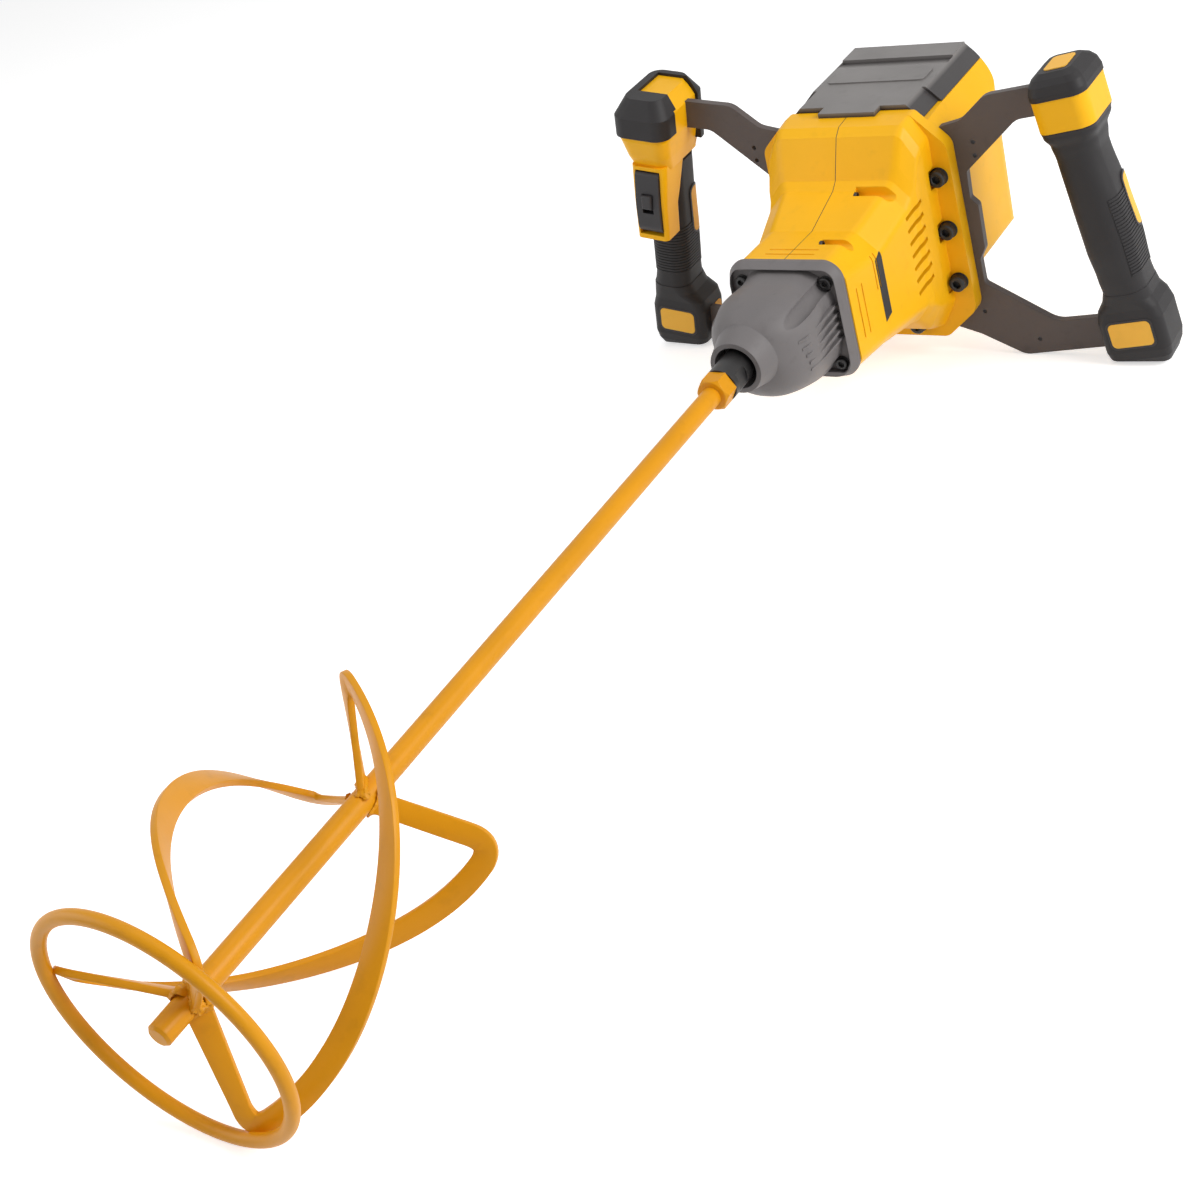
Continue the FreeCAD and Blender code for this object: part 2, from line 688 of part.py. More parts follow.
# Front housing: barrel, shoulder and deck, from the gearbox flange back to the bolts
housing_stations = [
    (housing_y, whole([(34.0, 34.0, 9.0), (46.5, 21.0, 9.0), (46.5, -46.0, 9.0), (36.0, -57.0, 9.0)])),
    (housing_y + 0.5 * barrel_length, whole([(34.0, 32.0, 9.0), (51.0, 15.0, 9.0), (51.0, -50.0, 9.0),
                                             (38.0, -62.0, 9.0)])),
    (shoulder_y - 6, whole([(41.0, 43.0, 9.0), (57.0, 27.0, 9.0), (57.0, -54.0, 9.0), (43.0, -68.0, 9.0)])),
    (shoulder_y + 1, whole([(45.0, 48.0, 9.0), (58.5, 33.0, 9.0), (58.5, -54.0, 9.0), (45.0, -70.0, 9.0)])),
    (shoulder_y + 6, whole([(48.0, 58.0, 9.0), (60.5, 39.0, 9.0), (60.5, -57.0, 9.0), (46.0, -75.0, 9.0)])),
    (crest_y - 7, whole([(50.0, housing_top - 6, 8.0), (61.0, 56.0, 9.0), (61.0, -62.0, 9.0),
                         (48.0, -84.0, 9.0)])),
    (crest_y, whole([(50.5, housing_top - 1, 6.0), (62.0, 62.0, 9.0), (62.0, -65.0, 9.0),
                     (48.0, -88.0, 9.0)])),
    (bolt_face_y, whole([(51.0, housing_top, 5.0), (62.5, 64.0, 9.0), (62.5, -70.0, 9.0),
                         (49.0, -94.0, 9.0)]))]


def bolt_pockets(margin):
    """Square spot faces for the bolt heads, open to the side or downwards."""
    half = bolt_pocket / 2 + margin
    depth = bolt_face_y - bolt_head_height - 2 - margin
    pockets = []
    for x, z in side_bolts:
        near = abs(x) - half
        low, high = sorted((math.copysign(near, x), math.copysign(near + 40, x)))
        pockets.append(box(low, high, depth, bolt_face_y, z - half, z + half))
    for x, z in bottom_bolts:
        pockets.append(box(x - half, x + half, depth, bolt_face_y, z - 40, z + half))
    return pockets


def vent_cutters(side):
    """Slanted slots through the flank beside the shoulder."""
    cutters = []
    for i in range(vent_count):
        slot = box(30, 90, -vent_length / 2, vent_length / 2, -vent_width / 2, vent_width / 2)
        slot.rotate(V(0, 0, 0), V(1, 0, 0), vent_rise)
        slot.translate(V(0, shoulder_y + 1, vent_top - vent_pitch * i))
        cutters.append(slot if side > 0 else slot.mirror(V(0, 0, 0), V(1, 0, 0)))
    return cutters


shell_screw_places = [(15.0, housing_y + 30, 30.5), (18.0, shoulder_y - 7, 39.5)]


def line_cutters(outer):
    """Thin lines in the skin behind the gearbox: across the top and down both flanks."""
    skin = outer.cut(hull([(y, inset(corners, groove_depth)) for y, corners in housing_stations]))
    bars = []
    for y in (housing_y + 9.4, housing_y + 16.8):
        bars.append(box(-groove_reach, groove_reach, y, y + groove_width, 20, 60))
        bars += [box(low, low + 40, y, y + groove_width, -33, 7) for low in (25, -65)]
    for y in (housing_y + 36.0, housing_y + 40.5):
        bars += [box(low, low + 40, y, y + groove_width, -9, 18) for low in (25, -65)]
    return [skin.common(bar) for bar in bars]


def shell_screws():
    """Screws that draw the right shell to the left one, and the troughs that give access to them."""
    screws, troughs, blocks = [], [], []
    across = V(1, 0, 0)
    for x, y, z in shell_screw_places:
        head = Part.makeCylinder(shell_screw_head, shell_screw_head_height, V(x, y, z), across)
        slot = box(x + shell_screw_head_height / 2, x + shell_screw_head_height, y - shell_screw_head,
                   y + shell_screw_head, z - groove_width / 2, z + groove_width / 2)
        shank = Part.makeCylinder(shell_screw_radius, x + shell_screw_grip, V(-shell_screw_grip, y, z),
                                  across)
        screws.append(head.cut(slot).fuse(shank))
        troughs.append(Part.makeCylinder(trough_radius, 3 * trough_radius + 40, V(x, y, z), across))
        troughs[-1] = troughs[-1].fuse(box(x, x + 60, y - trough_radius, y + trough_radius, z, z + 40))
        blocks.append(box(-shell_screw_grip - 3, x + 38, y - 6.5, y + 6.5, z - 9, z + 20))
    return screws, troughs, blocks


def front_housing():
    """Two moulded shells that close on the gearbox, the motor and its tail bearing."""
    outer = hull(housing_stations).fuse(plate(bolt_flange_outline, bolt_face_y, plate_y)).removeSplitter()
    inner_stations = []
    for i, (y, corners) in enumerate(housing_stations):
        shift = 0 if i < 2 else housing_wall
        inner_stations.append((y + shift, inset(corners, housing_wall)))
    first = inner_stations[0][1]
    last = inner_stations[-1][1]
    cavity = hull([(housing_y - 2, first)] + inner_stations + [(plate_y + 2, last)])
    bosses = [cylinder(screw_boss_radius, housing_y - 2, housing_y + screw_grip + 2, x, z)
              for x, z in gearbox_screw_places]
    ribs = [(stator_y + 8, stator_y + 12), (stator_y + stator_length - 12, stator_y + stator_length - 8),
            (tail_bearing_y, tail_bearing_end)]
    slabs = [box(-100, 100, low, high, -150, 150) for low, high in ribs]
    screws, troughs, blocks = shell_screws()
    hollow = cut_all(cavity, bosses + slabs + blocks + bolt_pockets(housing_wall))
    cuts = [hollow,
            cylinder(stator_radius, stator_y, stator_y + stator_length, 0, motor_z),
            cylinder(tail_bearing_radius, tail_bearing_y, tail_bearing_end, 0, motor_z)]
    cuts += bolt_pockets(0.0) + troughs + screws + line_cutters(outer)
    cuts += [roof(lid_front_y - 1, plate_y, free_gap)]
    cuts += [cylinder(bolt_radius + screw_gap, bolt_face_y - 1, plate_y, x, z)
             for x, z in side_bolts + bottom_bolts]
    cuts += [cylinder(gearbox_screw_radius, housing_y, housing_y + screw_grip, x, z)
             for x, z in gearbox_screw_places]
    shells = cut_all(outer, cuts)
    halves = {1: box(0, 200, 0, plate_y + 10, -200, 200), -1: box(-200, 0, 0, plate_y + 10, -200, 200)}
    for side, name in ((1, "front_housing_right"), (-1, "front_housing_left")):
        parts[name] = cut_all(shells.common(halves[side]), vent_cutters(side))
    parts["shell_screws"] = Part.makeCompound(screws)


# Side brackets

handle_top_x = handle_x - handle_tilt * 86.0
handle_low_x = handle_x + handle_tilt * 99.0
arm_top_end = handle_top_x - core_radius / 4
arm_low_end = handle_low_x - core_radius / 4
bracket_corners = [
    (56.0, 62.0, 1.0), (65.0, 66.5, 1.0), (83.0, 71.0, 14.0), (104.0, 89.5, 16.0), (arm_top_end, 98.0, 2.0),
    (arm_top_end, 76.0, 2.0), (126.0, 70.5, 14.0), (82.5, 31.0, 4.0), (82.0, 9.5, 3.0), (87.5, 4.0, 4.0),
    (87.5, -32.0, 5.0), (82.5, -41.0, 4.0), (83.0, -61.5, 4.0), (136.0, -93.0, 20.0),
    (arm_low_end, -85.0, 2.0), (arm_low_end, -110.0, 2.0), (108.0, -123.0, 14.0), (74.0, -106.0, 10.0),
    (56.0, -100.0, 1.0)]
accessory_x = 90.8
accessory_z = 49.1
other_holes = [(79.4, -86.2), (120.8, -109.0)]


def brackets():
    """Steel plates that carry the handles, and the bolts through them."""
    right = plate(bracket_corners, plate_y, rear_y)
    holes = [(accessory_x, accessory_z + half * accessory_pitch / 2) for half in (1, -1)] + other_holes
    right = cut_all(right, [cylinder(accessory_hole_radius, plate_y, rear_y, x, z) for x, z in holes])
    right = cut_all(right, [cylinder(bolt_radius + screw_gap, plate_y, rear_y, x, z)
                            for x, z in side_bolts if x > 0])
    right = right.cut(place_handle(core_piece(), 1))
    parts["bracket_right"] = right
    parts["bracket_left"] = right.mirror(V(0, 0, 0), V(1, 0, 0))
    bolts = []
    for x, z in side_bolts + bottom_bolts:
        head = cylinder(bolt_head_radius, bolt_face_y - bolt_head_height, bolt_face_y, x, z)
        crown = [e for e in head.Edges if e.BoundBox.YMax < bolt_face_y - bolt_head_height + 0.1]
        head = head.makeChamfer(1.0, crown)
        socket = cylinder(bolt_radius, bolt_face_y - bolt_head_height, bolt_face_y - bolt_head_height / 2,
                          x, z)
        shank = cylinder(bolt_radius, bolt_face_y, bolt_face_y + bolt_length, x, z)
        bolts.append(head.cut(socket).fuse(shank))
    parts["housing_bolts"] = Part.makeCompound(bolts)


# Rear housing with the battery bay, its lid and the battery

bevel_sum = lid_half_width + lid_top
rear_outline = whole([(lid_half_width, lid_top, 3.0), (rear_half_width, bevel_sum - rear_half_width, 6.0),
                      (rear_half_width, -53.0, 8.0), (56.0, rear_floor, 8.0)])
lid_front_y = plate_y - 1.0
lid_back_y = back_y - 0.4
hinge_y = back_y + hinge_barrel_radius + free_gap
hinge_z = lid_top - lid_skin - free_gap
battery_front_y = plate_y + bay_front_wall + 6.0


def lid_skin_section(grow):
    """Roof-shaped skin of the lid, grown all round by a gap."""
    top = lid_top + 20 * math.ceil(grow)
    low_x = lid_half_width + lid_drop + 20 * math.ceil(grow)
    low_z = bevel_sum - lid_half_width - lid_drop - grow
    inner_z = lid_top - lid_skin - grow
    bend = (bevel_sum - lid_skin * math.sqrt(2) - grow * math.sqrt(2)) - inner_z
    inner_x = bevel_sum - (lid_skin + grow) * math.sqrt(2) - low_z
    right = [(inner_x, low_z), (bend, inner_z)]
    outer = [(low_x, low_z), (lid_half_width, top)] if grow == 0 else [(low_x, low_z), (low_x, top)]
    points = outer[::-1] + right
    return points + [(-x, z) for x, z in reversed(points)]


def roof(y_start, y_end, grow):
    """Length of the lid's skin."""
    points = [V(x, y_start, z) for x, z in lid_skin_section(grow)]
    return Part.Face(Part.makePolygon(points + points[:1])).extrude(V(0, y_end - y_start, 0))


def rear_corners(shape):
    """Shape with the two upright corners at the back rounded."""
    right = [(rear_half_width, plate_y - 60, 1.0), (rear_half_width, back_y, rear_corner_round)]
    outline = right + [(-x, y, r) for x, y, r in reversed(right)]
    plan = Part.Face(rounded_wire(outline, lambda a, b: V(a, b, -200))).extrude(V(0, 0, 400))
    return shape.common(plan)


def rear_housing():
    """Moulded box for the battery behind the brackets, its hinged lid and what lies inside."""
    body = rear_corners(plate(rear_outline, plate_y + rear_flange, back_y))
    body = body.fuse(plate(bolt_flange_outline, plate_y, plate_y + rear_flange)).removeSplitter()
    bay_y = plate_y + bay_front_wall
    bay = box(-bay_half_width, bay_half_width, bay_y, bay_y + bay_length, bay_floor, lid_top + 10)
    knuckles = []
    for side in (1, -1):
        low, high = sorted((side * hinge_half_length, side * (hinge_half_length - hinge_knuckle)))
        ear = Part.makeCylinder(hinge_barrel_radius, high - low, V(low, hinge_y, hinge_z), V(1, 0, 0))
        foot = box(low, high, back_y - 4, hinge_y, hinge_z - 2 * hinge_barrel_radius, hinge_z - 0.3)
        knuckles.append(ear.fuse(foot))
    pin = Part.makeCylinder(hinge_pin_radius, 2 * hinge_half_length, V(-hinge_half_length, hinge_y, hinge_z),
                            V(1, 0, 0))
    cuts = [roof(lid_front_y - 1, back_y + 20, free_gap), bay, parts["bracket_right"], parts["bracket_left"]]
    cuts += [cylinder(bolt_radius, plate_y, bolt_face_y + bolt_length, x, z)
             for x, z in side_bolts + bottom_bolts]
    body = cut_all(body, cuts)
    parts["rear_housing"] = fuse_all([body] + knuckles).cut(pin)
    parts["hinge_pin"] = pin

    lid = rear_corners(roof(lid_front_y, lid_back_y, 0.0))
    rear_part_y = lid_back_y - lid_rear_length
    wedge = Part.Face(Part.makePolygon([V(-lid_half_width, y, z) for y, z in (
        (rear_part_y - lid_groove_length, lid_top), (rear_part_y, lid_top - lid_groove_depth),
        (rear_part_y, lid_top + 1), (rear_part_y - lid_groove_length, lid_top + 1),
        (rear_part_y - lid_groove_length, lid_top))])).extrude(V(2 * lid_half_width, 0, 0))
    notch_x = lid_half_width - lid_notch_depth
    notch_drop = 2 * lid_drop
    notch = Part.Face(Part.makePolygon([V(x, lid_front_y, z) for x, z in (
        (notch_x, lid_top), (notch_x + notch_drop, lid_top - notch_drop), (notch_x + notch_drop, lid_top),
        (notch_x, lid_top))])).extrude(V(0, lid_notch_length, 0))
    lid = cut_all(lid, [wedge, notch, notch.mirror(V(0, 0, 0), V(1, 0, 0))])
    tab = box(-lid_tab_half_width, lid_tab_half_width, lid_front_y - lid_tab_reach, lid_front_y,
              lid_top - lid_skin, lid_top)
    rise = rear_corners(box(-lid_half_width, lid_half_width, rear_part_y, lid_back_y,
                            lid_top - 1, lid_top + lid_rear_rise))
    inner = hinge_half_length - hinge_knuckle - free_gap
    barrel = Part.makeCylinder(hinge_barrel_radius, 2 * inner, V(-inner, hinge_y, hinge_z), V(1, 0, 0))
    web = box(-inner, inner, lid_back_y - 2, hinge_y, lid_top - lid_skin, hinge_z + hinge_barrel_radius)
    bore = Part.makeCylinder(hinge_pin_radius + running_fit, 2 * inner, V(-inner, hinge_y, hinge_z),
                             V(1, 0, 0))
    parts["battery_lid"] = fuse_all([lid, tab, rise, barrel, web]).cut(bore)

    pack = box(-bay_half_width + 1, bay_half_width - 1, battery_front_y, bay_y + bay_length - 2,
               bay_floor, lid_top - 11.6)
    upright = [e for e in pack.Edges if e.BoundBox.ZLength > 50]
    parts["battery_pack"] = pack.makeFillet(6.0, upright)
    parts["battery_terminals"] = box(-24, 24, bay_y, battery_front_y, bay_floor + 20, bay_floor + 60)
    parts["motor_controller"] = box(-38, 38, tail_bearing_end + 6, plate_y, 8, 66)


# Handles

def place_handle(shape, side):
    """Tilts and moves a piece drawn upright about the handle's axis; the left one is mirrored."""
    moved = shape.copy()
    moved.rotate(V(0, 0, 0), V(0, 1, 0), -handle_splay)
    moved.translate(V(handle_x, handle_y, 0))
    if side < 0:
        moved = moved.mirror(V(0, 0, 0), V(1, 0, 0))
    return moved


def pad(half_x, half_z, y_face, depth, grow=0.0):
    """Rounded pad on the front face of a handle."""
    corners = whole([(half_x + grow, half_z + grow, 4.0), (half_x + grow, -half_z - grow, 4.0)])
    return plate(corners, y_face - pad_proud, y_face + depth)


foot_half_x = 25.0
foot_half_y = 20.0
foot_top = grip_low
foot_middle = grip_low - 0.54 * foot_height
band_top = grip_high + band_height
trigger_pivot_y = trigger_back - 4.0
trigger_pivot_z = trigger_high - 6.0


def core_piece():
    return Part.makeCylinder(core_radius, 2 * core_half_length, V(0, 0, -core_half_length))


def grip_piece():
    """Rubber sleeve with a palm swell, flared at both ends."""
    waist = 22.0
    levels = [(16.5, 20.6, 13.0, grip_low, 1.5, 2.0), (14.6, 20.0, 13.0, grip_low + waist, 0.5, grip_shift),
              (15.2, 22.4, 13.5, 0.0, 0.0, grip_shift), (14.6, 21.0, 13.0, grip_high - waist, 0.0, grip_shift),
              (20.0, 24.0, 11.0, grip_high - 5, 0.0, 0.5), (21.0, 25.0, 10.0, grip_high, 0.0, 0.0)]
    return stack(levels, True)


def foot_piece(inset_x):
    """Block at the lower end, with a flared neck."""
    low = grip_low - foot_height
    levels = [(17.0, 21.0, 13.0, foot_top, 1.5, 2.0), (19.0, 20.5, 12.0, foot_top - 8, 2.5, 1.0),
              (23.0, 20.0, 9.0, foot_top - 15, foot_shift, -inset_x),
              (foot_half_x, foot_half_y, 7.5, foot_top - 24, foot_shift, -inset_x),
              (foot_half_x, foot_half_y, 7.5, low + 14, foot_shift, -inset_x),
              (foot_half_x - 1.5, foot_half_y - 1.5, 7.0, low + 7, foot_shift, -inset_x),
              (foot_half_x - 5, foot_half_y - 5, 6.0, low, foot_shift, -inset_x)]
    return stack(levels)


def trigger_slot():
    """Room for the trigger in the grip and in its housing."""
    return box(-trigger_half_width - free_gap, trigger_half_width + free_gap, 2 * trigger_front,
               trigger_back + trigger_room, trigger_low - 1, trigger_high + 1)


def handles():
    """Both handles: core, grip, foot and pads alike; cap and band on the right, trigger head on the left."""
    floor = box(-400, 400, -400, 800, handle_rest - 100, handle_rest)
    core = core_piece()
    pad_face = foot_shift - foot_half_y
    front_pad = pad(16.0, 10.0, pad_face, pad_thickness)
    front_pad.translate(V(0, 0, foot_middle))
    side_pad = pad(6.0, 10.0, -foot_half_x, pad_thickness)
    side_pad.rotate(V(0, 0, 0), V(0, 0, 1), -90)
    side_pad.translate(V(0, plate_thickness / 2 + 7.0, foot_middle))
    slot = trigger_slot()
    for side, name in ((1, "right"), (-1, "left")):
        plates = parts["bracket_%s" % name]
        parts["handle_core_%s" % name] = place_handle(core, side)
        grip = grip_piece().cut(core)
        if side < 0:
            grip = grip.cut(slot)
        parts["grip_%s" % name] = place_handle(grip, side)
        inset_x = left_foot_inset if side < 0 else 0.0
        pads = [front_pad.copy(), side_pad.copy()]
        for one in pads:
            one.translate(V(-inset_x, 0, 0))
        foot = cut_all(foot_piece(inset_x), [core] + pads)
        parts["foot_%s" % name] = cut_all(place_handle(foot, side), [plates, floor])
        parts["foot_pads_%s" % name] = Part.makeCompound([place_handle(one, side) for one in pads])

    band = stack([(21.0, 25.0, 10.0, grip_high, 0.0), (21.0, 25.0, 10.0, band_top, 0.0)])
    parts["band_right"] = place_handle(band.cut(core), 1).cut(parts["bracket_right"])
    cap_top = band_top + cap_height
    top_pad = stack([(8.5, 12.0, 3.5, cap_top - pad_thickness, 0.0),
                     (8.5, 12.0, 3.5, cap_top + pad_proud, 0.0)])
    cap = stack([(21.5, 25.5, 10.0, band_top, 0.0), (21.5, 25.5, 10.0, cap_top - 13, 0.0),
                 (20.0, 24.0, 9.5, cap_top - 7, 0.0), (17.2, 21.2, 8.5, cap_top - 3, 0.0),
                 (12.5, 16.5, 6.0, cap_top, 0.0)])
    cap = cut_all(cap, [core, top_pad])
    parts["cap_right"] = place_handle(cap, 1).cut(parts["bracket_right"])
    parts["cap_pad_right"] = place_handle(top_pad, 1)


def trigger_head():
    """Trigger housing on top of the left handle, its bumper, the trigger and its lock."""
    low_face = head_low - 4
    block = stack([(16.5, 27.0, 9.0, low_face, head_shift + 5),
                   (19.0, 31.0, 10.0, low_face + 12, head_shift + 2.5),
                   (head_half_x, head_half_y, 11.0, bumper_low - 4, head_shift),
                   (head_half_x, head_half_y, 11.0, head_top - 12, head_shift),
                   (crown_half_x, crown_half_y, 9.0, head_top, head_shift)])
    neck = stack([(trigger_half_width + 3.6, 11.5, 4.0, trigger_low - 5, -26.5),
                  (trigger_half_width + 3.8, 12.0, 4.0, trigger_low + 20, -26.0),
                  (trigger_half_width + 4.2, 14.5, 5.0, trigger_low + 30, -23.5),
                  (trigger_half_width + 5.0, 19.0, 6.0, head_low, -17.0)])
    slot = trigger_slot()
    core = core_piece()
    head = fuse_all([block, neck])
    wide = head_half_x + bumper_proud
    deep = head_half_y + bumper_proud
    bumper = stack([(wide, deep, 12.0, bumper_rear, head_shift),
                    (wide, deep, 12.0, head_top - 12 + bumper_proud / 2, head_shift),
                    (crown_half_x + bumper_proud, crown_half_y + bumper_proud, 10.0, head_top + bumper_proud,
                     head_shift)])
    rear_y_low = head_shift + 22
    low_window = box(-40, 40, -80, rear_y_low, bumper_rear, bumper_low)
    top_window = box(-40, 10, head_shift - 12, rear_y_low, head_top - 20, head_top + 20)
    inner_window = box(-40, 12, head_shift - 16, rear_y_low, bumper_rear, head_top - 9)
    bumper = cut_all(bumper, [block, low_window, top_window, inner_window])
    plates = parts["bracket_left"]
    upper_grip = stack([(22.0, 26.0, 10.0, head_low - 4, 0.0), (22.0, 26.0, 10.0, grip_high + 1, 0.0)])
    parts["grip_left"] = parts["grip_left"].cut(place_handle(fuse_all([block, upper_grip, neck]), -1))
    parts["trigger_housing"] = cut_all(place_handle(cut_all(head, [core, slot]), -1), [plates])
    parts["bumper_left"] = place_handle(bumper, -1).cut(plates)

    side_wall = trigger_half_width
    outline = [(trigger_back, trigger_high, 2.0), (trigger_front + 3, trigger_high, 3.0),
               (trigger_front, 0.5 * (trigger_low + trigger_high), 40.0), (trigger_front + 1, trigger_low, 9.0),
               (trigger_back, trigger_low, 3.0)]
    face = Part.Face(rounded_wire(outline, lambda a, b: V(-side_wall, a, b)))
    trigger = face.extrude(V(2 * side_wall, 0, 0))
    lock_low = trigger_low + 24.0
    lock_depth = 6.0
    lock = box(-lock_half_width, lock_half_width, trigger_front - lock_reach, trigger_front + lock_depth,
               lock_low, lock_low + lock_height)
    lock = lock.makeFillet(1.5, [e for e in lock.Edges if e.BoundBox.YMax < trigger_front])
    track = box(-lock_half_width - free_gap, lock_half_width + free_gap, trigger_front - 10,
                trigger_front + lock_depth, lock_low - lock_travel - free_gap, lock_low + lock_height + free_gap)
    pin_half = trigger_half_width + 3
    pivot = Part.makeCylinder(trigger_pin_radius, 2 * pin_half, V(-pin_half, trigger_pivot_y, trigger_pivot_z),
                              V(1, 0, 0))
    clearance = Part.makeCylinder(trigger_pin_radius + running_fit, 2 * side_wall,
                                  V(-side_wall, trigger_pivot_y, trigger_pivot_z), V(1, 0, 0))
    parts["trigger"] = place_handle(cut_all(trigger, [track, clearance]), -1)
    parts["trigger_lock"] = place_handle(lock, -1)
    parts["trigger_pin"] = place_handle(pivot, -1)
    parts["trigger_housing"] = parts["trigger_housing"].cut(parts["trigger_pin"])


paddle()
spindle_and_gears()
gearbox()
motor()
front_housing()
brackets()
rear_housing()
handles()
trigger_head()

os.makedirs("parts", exist_ok=True)
for node, shape in parts.items():
    shape.translate(V(0, paddle_length, 0))
    shape.exportStep("parts/%s.step" % node)
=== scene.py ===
import json
import math

import bmesh
import bpy
from mathutils import Matrix, Vector, noise


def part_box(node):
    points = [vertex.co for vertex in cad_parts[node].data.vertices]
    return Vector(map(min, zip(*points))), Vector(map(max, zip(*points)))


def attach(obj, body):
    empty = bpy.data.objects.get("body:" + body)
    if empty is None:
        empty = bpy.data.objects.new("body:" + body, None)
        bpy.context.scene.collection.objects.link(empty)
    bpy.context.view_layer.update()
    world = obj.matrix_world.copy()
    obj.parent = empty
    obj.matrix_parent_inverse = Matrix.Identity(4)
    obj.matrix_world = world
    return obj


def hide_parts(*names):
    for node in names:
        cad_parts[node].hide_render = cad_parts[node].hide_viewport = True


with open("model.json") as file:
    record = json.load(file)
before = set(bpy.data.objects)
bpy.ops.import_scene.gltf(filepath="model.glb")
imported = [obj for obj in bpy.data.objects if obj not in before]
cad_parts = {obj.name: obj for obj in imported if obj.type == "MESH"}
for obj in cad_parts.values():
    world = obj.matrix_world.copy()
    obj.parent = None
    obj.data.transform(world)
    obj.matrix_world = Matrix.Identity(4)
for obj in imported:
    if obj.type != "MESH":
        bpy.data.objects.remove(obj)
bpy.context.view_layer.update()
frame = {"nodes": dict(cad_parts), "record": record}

bl_info = {
    "name": "Mixing drill",
    "version": (1, 0, 0),
    "blender": (4, 5, 0),
    "location": "View3D > Sidebar > Mixer",
    "description": "Finishes and small pieces of a two-handled mixing drill with a ring paddle",
    "category": "Object",
}


def length(name, description, default):
    return bpy.props.FloatProperty(name=name, description=description, default=default, min=0.0,
                                   unit="LENGTH", precision=5)


def amount(name, description, default, **limits):
    return bpy.props.FloatProperty(name=name, description=description, default=default, min=0.0,
                                   **limits)


def angle(name, description, degrees):
    return bpy.props.FloatProperty(name=name, description=description,
                                   default=math.radians(degrees), subtype="ANGLE")


def place(name, description, default):
    return bpy.props.FloatVectorProperty(name=name, description=description, default=default,
                                         size=3, subtype="TRANSLATION", unit="LENGTH", precision=5)


def tint(name, description, default):
    return bpy.props.FloatVectorProperty(name=name, description=description, default=default,
                                         size=3, subtype="COLOR", min=0.0, max=1.0)


